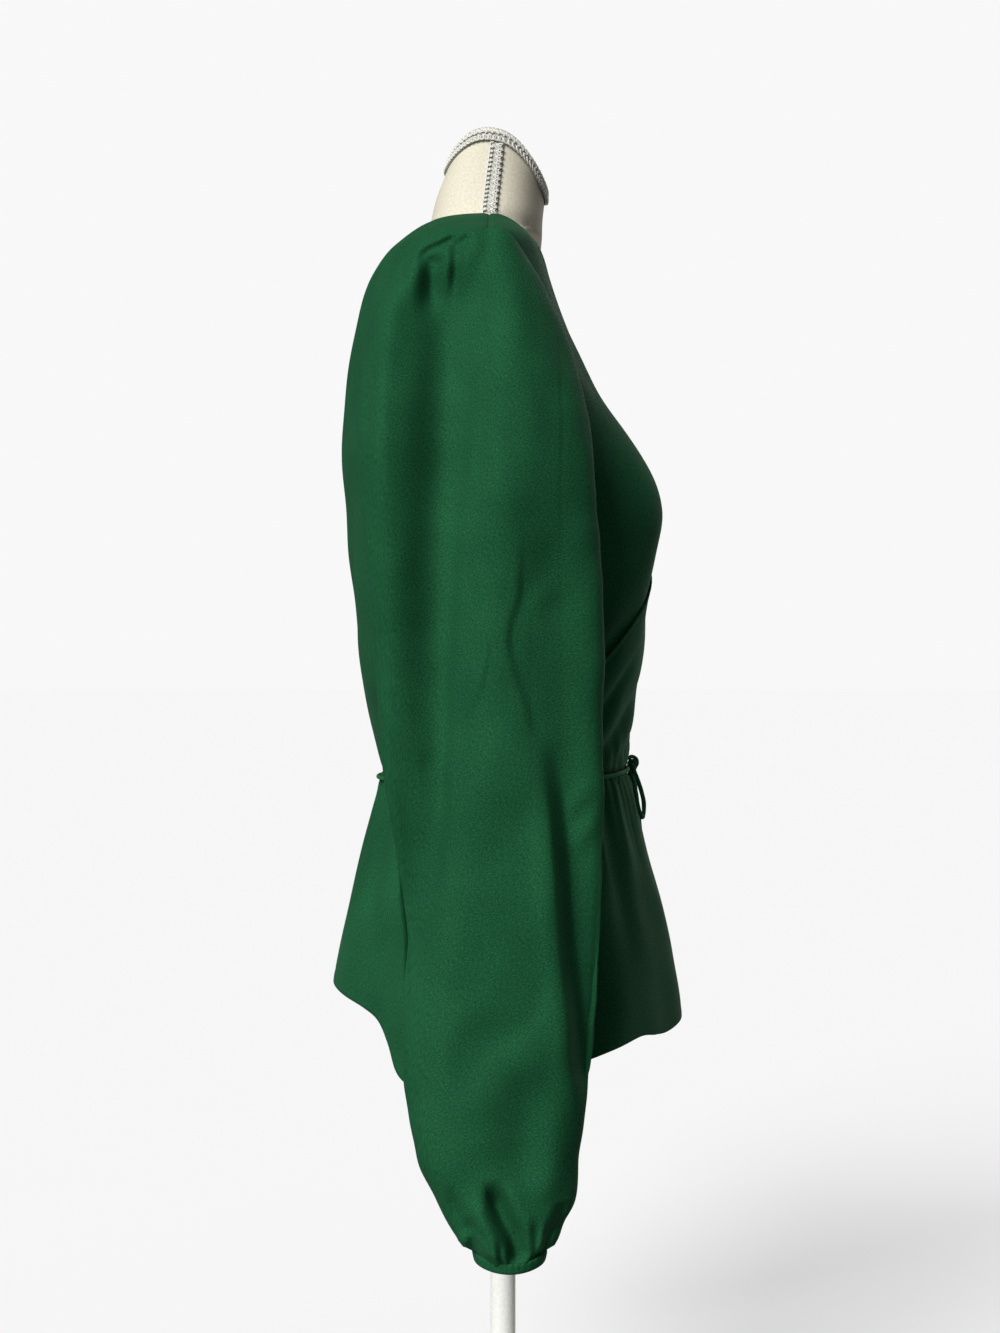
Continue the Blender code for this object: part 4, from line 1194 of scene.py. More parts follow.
@dataclass
class Bodice:
    """Back and two crossed fronts, sewn at shoulders, sides, armholes and waist."""

    body: Torso = TORSO_SHAPE
    rows: int = 132
    back_columns: int = 130
    front_columns: int = 148
    cloth_out: float = 0.0015  # outer face over the body
    drop: float = 0.0008  # below the waist seam, under the tie
    front_top: float = 13.8  # its highest level, where the front ends at the shoulder
    front_crowd: float = 0.10  # how much closer its columns stand at its edges
    fold_start: tuple[float, float] = (0.012, 0.010)  # over which folds begin, back and front
    fold_at_seam: tuple[float, float] = (0.15, 0.2)  # the share of them that is there at once
    back_hem: float = 0.005
    sway_mm: float = 0.7
    sway_scale: tuple[float, float] = (0.07, 0.06)
    tuck_reach_mm: float = 185.0  # round the waist, either way
    tuck_tall_mm: Range = (12, 48)
    tuck_deep_mm: Range = (0.6, 1.9)
    tuck_wide_mm: Range = (1.9, 3.6)
    tuck_apart_mm: Range = (9, 20)
    tuck_foot_mm: float = -4.0

    def panel(self, name: str, angles: Array, levels: Array, out: Array | float) -> Cloth:
        """A panel over the body.

        Args:
            name: its name.
            angles: rows by columns.
            levels: one for each row.
            out: extra distance off the body.
        Returns:
            The panel as cloth.
        """
        level = np.broadcast_to(levels[:, None], angles.shape)
        points = self.body.outside(angles, level, self.cloth_out + out)
        points[0, :, 2] -= self.drop
        return Cloth(name, points)

    def pull_folds(self, cloth: Cloth, angles: Array, seed: int) -> Array:
        """Small tucks that rise from the tied waist.

        Args:
            cloth: the panel.
            angles: of its points, from the centre front or back.
            seed: which tucks; two layers with the same ones lie on each other.
        Returns:
            Height over the cloth.
        """
        draw = np.random.default_rng(seed)
        spots = np.stack([angles * ARC_RADIUS, cloth.points[..., 2] - WAIST_Z], -1)
        tucks = []
        place = -self.tuck_reach_mm
        while place < self.tuck_reach_mm:
            tall = draw.uniform(*self.tuck_tall_mm)
            slant = -0.12 * place * tall / 40 + draw.normal() * 3
            route = ((place, self.tuck_foot_mm), (place - slant * 0.4, tall * 0.4), (place - slant, tall))
            deep, wide = -draw.uniform(*self.tuck_deep_mm), draw.uniform(*self.tuck_wide_mm)
            tucks.append(Crease(route, deep, wide, start=0.01, end=0.8))
            place += draw.uniform(*self.tuck_apart_mm)
        return fold_height(tucks, spots)

    def back(self, finish: bpy.types.Material) -> bpy.types.Object:
        """The back panel, with a shallow hollow over the spine and drag lines at the waist.

        Args:
            finish: its material.
        Returns:
            The finished piece.
        """
        levels = self.body.even_levels(self.rows, self.body.top)
        rise = self.body.rings.at(levels)[:, 0]
        edge = self.body.armhole_angle(rise, self.body.inset_back, self.body.hollow_back)[:, None]
        share = np.linspace(-1, 1, self.back_columns)[None, :]
        angles = HALF_TURN + share * edge
        cloth = self.panel("bodice_back", angles, levels, 0.0)
        folds = creases(
            0.3, 0.4,
            (((-62, 205), (-40, 150), (-18, 96), (-8, 60)), -1.6, 8),
            (((66, 215), (44, 158), (20, 104), (6, 66)), -1.9, 9),
        ) + creases(
            0.2, 0.5,
            (((-92, 60), (-60, 42), (-28, 34)), -1.5, 6), (((98, 74), (64, 48), (30, 40)), -1.3, 6),
            (((-104, 182), (-92, 128), (-88, 80)), -1.5, 7), (((106, 190), (97, 134), (90, 86)), -1.7, 7),
            (((-70, 352), (-74, 322), (-84, 282)), -1.2, 7), (((74, 350), (80, 318), (88, 284)), -1.1, 7),
        ) + creases(
            0.3, 0.3,
            (((-3, 300), (0, 230), (2, 150), (1, 60)), -1.2, 10),
        )
        spots = np.stack([-cloth.points[..., 0], cloth.points[..., 2] - WAIST_Z], -1)
        height = fold_height(folds, spots) + self.pull_folds(cloth, angles - HALF_TURN, BACK_TUCKS)
        height += self.sway_mm * MM * ripple(cloth.points, self.sway_scale[0], BACK_SWAY)
        away = cloth.rim_distance("first last left right")
        cloth.move_out(height * smooth(away / self.fold_start[0] + self.fold_at_seam[0]))
        cloth.turn_hem("last", self.back_hem)
        cloth.sew_down("first left right")
        return dress(cloth.build(finish), "crepe", "bodice_back")

    def front(
        self, name: str, side: int, reach: float, out_of: Lift, folds: list[Crease],
        finish: bpy.types.Material,
    ) -> bpy.types.Object:
        """One crossed front, its columns running from its wrap edge to its side.

        Args:
            name: its name.
            side: 1 for the wearer's left front and -1 for the right.
            reach: how far past the centre it goes at the waist, as an angle.
            out_of: extra distance off the body at an angle and a rise.
            folds: on the panel, as arc and rise in mm.
            finish: its material.
        Returns:
            The finished piece.
        """
        levels = self.body.even_levels(self.rows, self.front_top)
        rise = self.body.rings.at(levels)[:, 0]
        edge = self.body.armhole_angle(rise, self.body.inset_front, self.body.hollow_front)[:, None]
        wrap = -self.body.wrap_edge(rise, reach)[:, None]
        share = np.linspace(0, 1, self.front_columns)[None, :]
        share = share - self.front_crowd * np.sin(2 * math.pi * share) / (2 * math.pi)
        across = wrap + (edge - wrap) * share
        angles = side * across
        if side < 0:
            angles = angles[:, ::-1]
        out = out_of(angles, np.broadcast_to(rise[:, None], angles.shape))
        cloth = self.panel(name, angles, levels, out)
        spots = np.stack([angles * ARC_RADIUS, cloth.points[..., 2] - WAIST_Z], -1)
        height = fold_height(folds, spots) + self.pull_folds(cloth, angles, FRONT_TUCKS)
        height += self.sway_mm * MM * ripple(cloth.points, self.sway_scale[1], FRONT_SWAY)
        away = cloth.rim_distance("first left right")
        cloth.move_out(height * smooth(away / self.fold_start[1] + self.fold_at_seam[1]))
        cloth.turn_hem("left" if side > 0 else "right")
        cloth.sew_down("first last " + ("right" if side > 0 else "left"))
        return dress(cloth.build(finish), "crepe", name)

    def build(self, finish: bpy.types.Material) -> None:
        """Make the three panels.

        Args:
            finish: their material.
        """
        self.back(finish)
        # arc from the centre front and rise, in mm; the drag lines run down to the tied waist
        crossing = creases(
            0.1, 0.5,
            (((-176, 16), (-150, 52), (-118, 98), (-84, 140)), -3.0, 5.0),
            (((-160, 10), (-130, 40), (-98, 80), (-62, 118)), -2.6, 4.6),
            (((-132, 6), (-104, 30), (-72, 62), (-36, 92)), -2.4, 4.6),
            (((-98, 4), (-72, 22), (-36, 48), (4, 72)), -2.3, 5.0),
            (((-60, 2), (-36, 14), (-2, 32), (36, 50)), -1.8, 4.6),
            (((46, 2), (58, 44), (72, 92), (84, 128)), -2.8, 6.0),
        ) + creases(
            0.1, 0.6,
            (((84, 2), (96, 40), (108, 84)), -2.4, 5.4), (((128, 2), (134, 46), (142, 98)), -2.6, 6.0),
            (((156, 210), (130, 197), (104, 187)), -3.0, 5.0),
            (((158, 196), (134, 176), (112, 158)), -2.4, 5.0),
            (((-156, 210), (-130, 198), (-106, 188)), -3.2, 5.0),
            (((-158, 194), (-136, 172), (-116, 152)), -2.6, 5.0),
        ) + creases(
            0.3, 0.5,
            (((122, 318), (112, 280), (108, 244)), -1.8, 7),
            (((-122, 318), (-112, 280), (-108, 244)), -1.8, 7),
        )
        self.front("bodice_front_right", -1, self.body.under_reach, no_lift, crossing, finish)
        self.front("bodice_front_left", 1, self.body.over_reach, self.body.lift, crossing, finish)


# ---------------------------------------------------------------- peplum


@dataclass
class Peplum:
    """The flared skirt of the top: back, and two fronts that cross like the bodice's."""

    body: Torso = TORSO_SHAPE
    rings: Rings = Rings(PEPLUM)
    hem: Rings = Rings(HEM)
    rows: int = 84
    columns: int = 396  # round the whole hem
    top_rise: float = -0.0009
    flutes: int = 7
    flute_deep: float = 0.0045
    flute_turn: float = 0.6
    flute_growth: float = 1.5
    cloth_out: float = 0.0015
    rows_at_top: float = 1.25  # above 1, the rows stand closer at the waist
    gather_deep_mm: Range = (0.8, 2.5)
    gather_wide: Range = (0.014, 0.028)
    gather_long: Range = (0.026, 0.100)
    gather_apart: Range = (0.055, 0.125)
    gather_big: float = 0.2  # the share of gathers that are bigger
    gather_fan: float = 5.0  # how much wider they are a metre down
    fold_start: float = 0.008
    fold_at_seam: float = 0.35
    sway_mm: float = 0.9
    sway_scale: float = 0.075

    def hem_rise(self, angle: Array) -> Array:
        """How far below the waist the hem is."""
        turn = np.abs(np.degrees(wrapped(angle)))
        return self.hem.at(self.hem.level(turn))[..., 1]

    def flute(self, angle: Array, share: Array) -> Array:
        """The soft waves of the flare, deepest at the hem and not quite even.

        Args:
            angle: round the body.
            share: 0 at the waist seam and 1 at the hem.
        Returns:
            Height over the plain flare.
        """
        uneven = angle + 0.05 * np.sin(2 * angle + 1.0) + 0.03 * np.sin(5 * angle)
        size = 1 + 0.25 * np.sin(3 * angle + 0.4)
        wave = np.cos(self.flutes * uneven + self.flute_turn)
        return self.flute_deep * size * wave * share**self.flute_growth

    def base(self, angle: Array, share: Array, out: Array | float) -> Array:
        """Points of the flare.

        Args:
            angle: round the body.
            share: 0 at the waist seam and 1 at the hem.
            out: distance off it.
        Returns:
            The points.
        """
        rise = self.top_rise + (self.hem_rise(angle) - self.top_rise) * share
        row = self.rings.at(self.rings.level(rise))
        x, y = ring_xy(row, angle)
        away = unit(np.stack([x, y], -1))
        off = out + self.flute(angle, share)
        return np.stack([x + away[..., 0] * off, y + away[..., 1] * off, WAIST_Z + rise], -1)

    def gathers(self, angle: Array, drop: Array, seed: int) -> Array:
        """Fine gathers that fan out from under the tie, each of its own depth and length.

        Args:
            angle: round the body.
            drop: below the waist seam, in metres.
            seed: which gathers.
        Returns:
            Height over the cloth.
        """
        draw = np.random.default_rng(seed)
        height = np.zeros(angle.shape)
        place = -math.pi
        while place < math.pi - 0.02:
            deep = draw.uniform(*self.gather_deep_mm) * MM
            wide = draw.uniform(*self.gather_wide)
            long = draw.uniform(*self.gather_long)
            if draw.uniform() < self.gather_big:
                deep, long, wide = deep * 1.25, long * 1.6, wide * 1.2
            lean = draw.normal() * 0.25
            around = wrapped(angle - place - lean * drop)
            spread = wide * (1 + self.gather_fan * drop)
            fall = (1 - smooth(drop / long)) * (0.25 + 0.75 * smooth(drop / 0.006))
            height += deep * gather(around / spread) * fall
            place += draw.uniform(*self.gather_apart)
        return height

    def panel(
        self, name: str, start: float, end: float, out_of: Lift, folds: list[Crease],
        seed: int, rims: str, sewn: str, finish: bpy.types.Material,
    ) -> bpy.types.Object:
        """A panel between two angles.

        Args:
            name: its name.
            start: its first angle.
            end: its last angle.
            out_of: extra distance off the flare at an angle and a rise.
            folds: on the panel, as arc at the waist and drop in mm.
            seed: which unevenness.
            rims: its free edges.
            sewn: its sewn edges.
            finish: its material.
        Returns:
            The finished piece.
        """
        count = int(self.columns * (end - start) / (2 * math.pi))
        angle = np.linspace(start, end, count)[None, :]
        share = (np.linspace(1, 0, self.rows) ** self.rows_at_top)[:, None]
        angle, share = np.broadcast_arrays(angle, share)
        out = self.cloth_out + out_of(angle, np.zeros(angle.shape))
        cloth = Cloth(name, self.base(angle, share, out))
        drop = WAIST_Z - cloth.points[..., 2]
        spots = np.stack([angle * ARC_RADIUS, -drop], -1)
        height = self.gathers(angle, drop, seed) + fold_height(folds, spots)
        sway = ripple(cloth.points, self.sway_scale, PEPLUM_SWAY + seed)
        height += self.sway_mm * MM * sway * smooth(share * 1.6)
        away = cloth.rim_distance(sewn)
        cloth.move_out(height * smooth(away / self.fold_start + self.fold_at_seam))
        cloth.turn_hem(rims)
        cloth.sew_down(sewn)
        return dress(cloth.build(finish), "crepe", name)

    def build(self, finish: bpy.types.Material) -> None:
        """Make the three panels.

        Args:
            finish: their material.
        """
        under_end = float(self.body.wrap_edge(np.array(0.0), self.body.under_reach))
        back_folds = creases(
            0.05, 0.4,
            (((196, -4), (200, -50), (206, -110), (212, -150)), -2.6, 8),
            (((286, -4), (284, -60), (280, -140)), -2.4, 8),
            (((345, -4), (343, -60), (340, -142)), -2.6, 8),
            (((392, -4), (394, -60), (400, -150)), -2.4, 8),
            (((436, -4), (440, -54), (446, -118)), -2.2, 8),
            (((508, -4), (513, -50), (519, -104)), -2.2, 7),
        ) + creases(
            0.05, 0.5,
            (((224, -4), (226, -46), (232, -96)), -2.2, 7),
            (((318, -4), (314, -44), (306, -90)), -2.0, 7),
        ) + creases(
            0.1, 0.3,
            (((255, -4), (256, -60), (258, -132)), 2.2, 9),
        ) + creases(
            0.05, 0.35,
            (((470, -4), (476, -70), (482, -160)), -2.8, 8),
        )
        front_folds = creases(
            0.05, 0.4,
            (((-172, -4), (-176, -50), (-182, -110)), -2.4, 7),
            (((-146, -4), (-150, -52), (-156, -120)), -2.8, 8),
            (((-88, -4), (-89, -60), (-92, -138)), -2.4, 8),
            (((-16, -4), (-14, -52), (-10, -130)), -2.2, 8), (((24, -4), (26, -56), (30, -128)), -2.5, 8),
            (((104, -4), (107, -58), (112, -130)), -2.6, 8),
            (((140, -4), (144, -50), (150, -108)), -2.3, 7),
            (((170, -4), (175, -50), (181, -120)), -2.4, 8),
        ) + creases(
            0.05, 0.5,
            (((-118, -4), (-120, -44), (-124, -96)), -2.2, 7),
            (((-52, -4), (-50, -40), (-46, -84)), -2.0, 7), (((66, -4), (67, -44), (70, -92)), -2.0, 7),
        )
        sides = "left right last"
        for name, start, end, lift, folds, seed, rims, sewn in (
            ("back", QUARTER, 3 * QUARTER, no_lift, back_folds, 1, "first", sides),
            ("front_right", -QUARTER, under_end, no_lift, front_folds, 2, "first right", "left last"),
            ("front_left", -QUARTER, QUARTER, self.body.lift, front_folds, 2, "first", sides),
        ):
            self.panel(f"peplum_{name}", start, end, lift, folds, seed, rims, sewn, finish)


# ---------------------------------------------------------------- sleeves


OUTER_FOLDS = (
    # the two pleats of the sleeve head, and the wide valley that runs on from them
    Crease(((45, 831), (47, 814), (48, 798), (49, 780)), -9.0, 4.8, start=0.14, end=0.6),
    Crease(
        ((27, 847), (34, 844), (42, 840), (50, 837), (57, 832), (61, 823)), -7.5, 1.9, start=0.25, end=0.25,
        kind=Kind.STEP,
    ),
    Crease(
        ((36, 836), (36, 812), (36, 780), (36, 745), (37, 710), (39, 675), (40, 640), (41, 600), (42, 560),
         (42, 520), (42, 470), (42, 420)),
        -27.0, 16.0, start=0.1, end=0.75,
    ),
    Crease(
        ((42, 660), (42, 620), (42, 580), (42, 540), (44, 500), (50, 450), (60, 400), (72, 361), (84, 323)),
        -11.0, 13.0, lean=0.1, start=0.35, end=0.2,
    ),
    Crease(((30, 834), (31, 818), (32, 804), (33, 792)), -5.4, 2.8, start=0.14, end=0.6),
    Crease(((22, 845), (28, 841), (34, 837), (38, 831)), -5.0, 1.5, start=0.25, end=0.3, kind=Kind.STEP),
    Crease(((9, 850), (11, 832), (15, 805), (18, 770)), -1.6, 3.6, start=0.05, end=0.6),
    Crease(((68, 824), (73, 796), (77, 760), (80, 700), (80, 640)), 3.6, 6.0, start=0.2, end=0.5),
    Crease(((60, 836), (66, 822), (74, 806), (81, 788)), -3.0, 3.4, start=0.05, end=0.5),
    # the long edge down the outside of the arm, over the lower cloth behind it
    Crease(
        ((26, 553), (25, 600), (22, 650), (17, 700), (14, 745), (12, 780)), -2.0, 3.6, start=0.2, end=0.6,
        kind=Kind.STEP,
    ),
    Crease(
        ((52, 337), (48, 361), (41, 400), (35, 434), (32, 466), (30, 491), (27, 540), (26, 590)), -4.0, 3.2,
        start=0.3, end=0.3, kind=Kind.STEP,
    ),
    Crease(
        ((37, 247), (37, 283), (36, 332), (36, 381), (35, 430)), -2.8, 4.0, start=0.3, end=0.4,
        kind=Kind.STEP,
    ),
    Crease(
        ((15, 770), (18, 730), (22, 680), (26, 640), (28, 600), (30, 560), (32, 520), (34, 480), (38, 440)),
        1.4, 2.8, start=0.3, end=0.2,
    ),
    # the elbow: a bent edge over a wide hollow in front of it, with a small ridge behind it
    Crease(
        ((-7, 650), (-9, 632), (-8, 614), (-8, 603), (-4, 593), (-1, 580), (-2, 567), (-6, 554), (-11, 539),
         (-16, 522), (-21, 508), (-26, 496)),
        -1.9, 1.8, start=0.3, end=0.3, kind=Kind.STEP,
    ),
    Crease(
        ((-30, 690), (-33, 640), (-35, 590), (-37, 550), (-40, 500), (-44, 440)), -6.5, 13.0,
        start=0.65, end=0.3,
    ),
    Crease(((2, 793), (-4, 741), (-7, 693), (-8, 650)), -1.0, 6.0, start=0.4, end=0.3),
    Crease(((-14, 592), (-24, 603), (-36, 616)), 1.2, 5.0, start=0.3, end=0.5),
    Crease(((12, 583), (12, 566), (17, 546), (24, 535), (36, 525)), 1.7, 1.5, lean=-0.4, start=0.3, end=0.4),
    # the deep fold of the forearm, whose back side stands over its front
    Crease(
        ((-19, 520), (-23, 496), (-26, 474), (-29, 445), (-31, 415), (-33, 390), (-36, 362), (-39, 337),
         (-41, 308), (-43, 272)),
        -20.0, 4.4, start=0.35, end=0.2, kind=Kind.STEP,
    ),
    Crease(((-39, 467), (-47, 475), (-58, 486)), 1.6, 3.2, start=0.2, end=0.4),
    Crease(((-43, 445), (-52, 455), (-62, 466)), 1.6, 3.2, start=0.2, end=0.4),
    Crease(((54, 495), (47, 498), (38, 497)), -1.3, 3.0, start=0.3, end=0.4),
    # the balloon above the cuff
    Crease(
        ((-31, 381), (-22, 366), (-17, 344), (-4, 332), (13, 320), (32, 288)), -3.6, 10.0, lean=0.3,
        start=0.3, end=0.3,
    ),
    Crease(((-10, 310), (-13, 285), (-12, 262), (-9, 244), (-2, 228)), -4.6, 11.0, start=0.3, end=0.4),
    Crease(((-30, 290), (-31, 265), (-29, 240), (-25, 218)), 2.6, 7.0, start=0.3, end=0.3),
    Crease(
        ((9, 240), (6, 226), (0, 212), (-6, 200), (-9, 186)), -12.0, 4.6, lean=-0.3, start=0.35, end=0.02,
    ),
    Crease(((18, 228), (14, 214), (9, 202), (5, 186)), 2.6, 4.0, start=0.25, end=0.02),
    Crease(((28, 186), (26, 193), (21, 199), (14, 197), (10, 187)), 2.2, 2.0, start=0.05, end=0.05),
    Crease(((22, 216), (20, 200), (18, 185)), -4.0, 2.4, start=0.4, end=0.02),
    Crease(((-18, 216), (-20, 200), (-20, 185)), -3.8, 2.4, start=0.5, end=0.02),
    Crease(((-31, 208), (-29, 196), (-25, 185)), -3.4, 2.2, start=0.5, end=0.02),
    Crease(((-38, 224), (-36, 210), (-31, 196)), -3.6, 3.0, start=0.3, end=0.3),
    Crease(((35, 236), (30, 214), (24, 194)), -4.0, 3.2, start=0.4, end=0.2),
    Crease(((3, 202), (2, 193), (1, 185)), -2.6, 1.8, start=0.5, end=0.02),
    # just inside the back edge
    Crease(((97, 428), (99, 398), (97, 366), (90, 335), (84, 308)), 8.0, 12.0, start=0.3, end=0.4),
    Crease(((88, 765), (88, 720), (86, 680), (83, 620)), -2.0, 4.0, start=0.3, end=0.4),
    Crease(((72, 560), (66, 500), (60, 430), (57, 350)), -2.2, 6.0, start=0.3, end=0.4),
)

INNER_FOLDS = (
    Crease(((48, 800), (46, 730), (44, 660), (42, 600)), -2.4, 9, start=0.2, end=0.4),
    Crease(((10, 720), (6, 660), (2, 600), (2, 552)), -1.8, 8, start=0.3, end=0.4),
    Crease(((-28, 690), (-24, 640), (-14, 590), (-2, 556)), -2.0, 6, start=0.3, end=0.3),
    Crease(((44, 610), (30, 582), (12, 562), (-4, 552)), -2.2, 5, start=0.3, end=0.3),
    Crease(((-44, 560), (-30, 552), (-14, 546)), -1.8, 4.5, start=0.3, end=0.4),
    Crease(((34, 540), (38, 470), (42, 400), (38, 330), (30, 280)), -3.0, 7, start=0.2, end=0.3),
    Crease(((4, 530), (0, 450), (2, 380), (8, 310)), 1.8, 8, start=0.3, end=0.3),
    Crease(((-30, 500), (-32, 430), (-36, 360), (-34, 290)), -2.8, 7, start=0.2, end=0.3),
    Crease(((-10, 320), (-6, 270), (-2, 225), (0, 186)), -2.4, 4.5, start=0.4, end=0.05),
    Crease(((22, 290), (20, 245), (16, 210), (12, 186)), -2.0, 4.0, start=0.4, end=0.05),
)

# Rows behind the cuff's edge: their size as a share of the foot's, and how far below it
TUCK_ROWS = ((0.985, 0.0008), (0.955, 0.0015), (0.93, 0.0024))


@dataclass
class Sleeve:
    """A balloon sleeve that hangs empty, from its armhole down to its narrow cuff."""

    side: int
    body: Torso = TORSO_SHAPE
    rings: Rings = Rings(SLEEVE)
    columns: int = 236
    head_rows: int = 58
    hanging_rows: int = 128
    outer_share: float = 0.4  # how much closer the columns stand on the outside of the arm
    head_out: float = 0.060
    head_puff: float = 0.045
    head_full_back: float = 0.075
    head_full_front: float = 0.030
    head_fall: float = 1.05
    head_middle_y: float = 0.012
    head_least_puff: float = 0.45
    cuff_gathers: int = 34
    cuff_tall: float = 0.0068
    cuff_thick: float = 0.0022
    cuff_top_z: float = 0.1849
    cuff_sag: float = 0.0045
    seam_tuck: float = 0.005  # how far the armhole edge runs in behind the bodice
    seam_roll: float = 0.0012  # the cloth stands up a little over the turned seam
    seam_roll_at: float = 0.0055
    seam_roll_wide: float = 0.0034
    seam_sink: float = 0.0016
    seam_wide: float = 0.0024
    fold_start: float = 0.007  # from the seam, over which the folds of the head begin
    fold_at_seam: float = 0.12  # the share of them that is there at once
    sway_mm: float = 0.8
    sway_scale: float = 0.085
    fine_sway_mm: float = 0.25
    fine_sway_scale: float = 0.022
    still_below: float = 0.2  # the height under which the gathers hold the cloth still
    head_crowd: float = 1.35  # above 1, the rows stand closer at the armhole
    foot_crowd: float = 0.352  # how much closer they stand at the foot
    gather_deep_mm: Range = (0.5, 1.5)
    gather_tall: Range = (0.012, 0.034)
    gather_wide: Range = (0.045, 0.085)
    gather_big: float = 0.25  # the share of gathers that are bigger
    gather_fan: float = 14.0  # how much wider they are a metre up
    cuff_round: float = 0.0006  # how far the cuff's middle bulges
    cuff_narrow: float = 0.0012  # how much less its lower edge is than its upper, each way
    pucker: float = 0.00022

    @property
    def label(self) -> str:
        """The wearer's side in words."""
        return "left" if self.side > 0 else "right"

    def armhole(self, turn: Array) -> Array:
        """The seam round the armhole: 0 is the shoulder tip, a quarter the front.

        Args:
            turn: round the armhole.
        Returns:
            Points of the seam.
        """
        body = self.body
        rise = body.armhole_middle + body.armhole_half * np.cos(turn)
        front = np.sin(turn) >= 0
        near = body.armhole_angle(rise, body.inset_front - 0.0004, body.hollow_front)
        far = HALF_TURN - body.armhole_angle(rise, body.inset_back - 0.0004, body.hollow_back)
        angle = np.where(front, near, far)
        point = body.outside(angle, body.rings.level(rise), 0.0008)
        return point * np.array([self.side, 1.0, 1.0])

    def hanging(self, turn: Array, level: Array) -> Array:
        """The sleeve where it hangs free, without its folds.

        Args:
            turn: round the arm, 0 being its outside.
            level: of the rings.
        Returns:
            The points.
        """
        row = self.rings.at(level)
        x = row[..., 1] + row[..., 4] * np.cos(turn)
        y = (row[..., 2] + row[..., 3]) / 2 - (row[..., 3] - row[..., 2]) / 2 * np.sin(turn)
        return np.stack(np.broadcast_arrays(self.side * x, y, row[..., 0]), -1)

    def head(self, turn: Array, share: Array) -> Array:
        """The sleeve head: share 0 at the armhole, 1 at the first hanging ring.

        Args:
            turn: round the armhole.
            share: of the way down to the first hanging ring.
        Returns:
            The points.
        """
        start = self.armhole(turn)
        end = self.hanging(turn, np.zeros(turn.shape))
        middle = np.array([0.0, self.head_middle_y, WAIST_Z + self.body.armhole_middle])
        away = unit((start - middle) * np.array([0.0, 1.0, 1.0]))
        fullness = self.head_full_front * np.maximum(0, np.sin(turn))
        fullness = fullness + self.head_full_back * np.maximum(0, -np.sin(turn))
        on_top = np.cos(turn / 2) ** 2
        puff = self.head_puff * (self.head_least_puff + (1 - self.head_least_puff) * on_top) + fullness
        leave = np.array([self.side * self.head_out, 0.0, 0.0]) + away * puff[..., None]
        fall = np.linalg.norm(start - end, axis=-1, keepdims=True) * self.head_fall
        arrive = np.array([0.0, 0.0, -1.0]) * fall
        s = share[..., None]
        point = start * (2 * s**3 - 3 * s**2 + 1) + leave * (s**3 - 2 * s**2 + s)
        return point + end * (3 * s**2 - 2 * s**3) + arrive * (s**3 - s**2)

    def gathers(self, turn: Array, z: Array, seed: int) -> Array:
        """Small tucks that rise from the cuff seam.

        Args:
            turn: round the arm.
            z: height over the floor.
            seed: which gathers.
        Returns:
            Height over the cloth.
        """
        draw = np.random.default_rng(seed)
        height = np.zeros(turn.shape)
        for k in range(self.cuff_gathers):
            place = 2 * math.pi * (k + draw.uniform(-0.35, 0.35)) / self.cuff_gathers
            deep = draw.uniform(*self.gather_deep_mm) * MM
            tall = draw.uniform(*self.gather_tall)
            wide = draw.uniform(*self.gather_wide)
            if draw.uniform() < self.gather_big:
                deep, tall, wide = deep * 1.3, tall * 1.7, wide * 1.3
            above = z - self.rings.rows[-1][0]
            spread = wide * (1 + above * self.gather_fan)
            rise = (1 - smooth(above / tall)) * (0.45 + 0.55 * smooth(above / 0.004))
            around = wrapped(turn - place - draw.normal() * 1.5 * above)
            height -= deep * gather(around / spread) * rise
        return height

    def folds(self, points: Array, turn: Array) -> Array:
        """The listed folds of both faces, as how far they move the cloth sideways.

        Args:
            points: of the sleeve.
            turn: round the arm, of each.
        Returns:
            Distances along X.
        """
        spots = points[..., 1:]
        outer = OUTER_FOLDS if self.side < 0 else varied(OUTER_FOLDS, LEFT_FOLDS, 3.0, 0.95)
        inner = varied(INNER_FOLDS, INSIDE_FOLDS + self.side, 2.5)
        on_outer = smooth(0.5 + np.cos(turn) * 1.6)
        moved = fold_height(outer, spots) * on_outer - fold_height(inner, spots) * (1 - on_outer)
        return self.side * moved

    def foot_lift(self, points: Array) -> Array:
        """How far the foot and the cuff are raised at their front and back, where the arm is narrow.

        Args:
            points: of the foot or the cuff.
        Returns:
            How far up each one goes.
        """
        foot = self.rings.rows[-1]
        half = (foot[3] - foot[2]) / 2
        off = np.clip(np.abs(points[..., 1] - (foot[2] + foot[3]) / 2) / half, 0, 1)
        return self.cuff_sag * off**2 * (1 - smooth((points[..., 2] - self.cuff_top_z - 0.002) / 0.045))

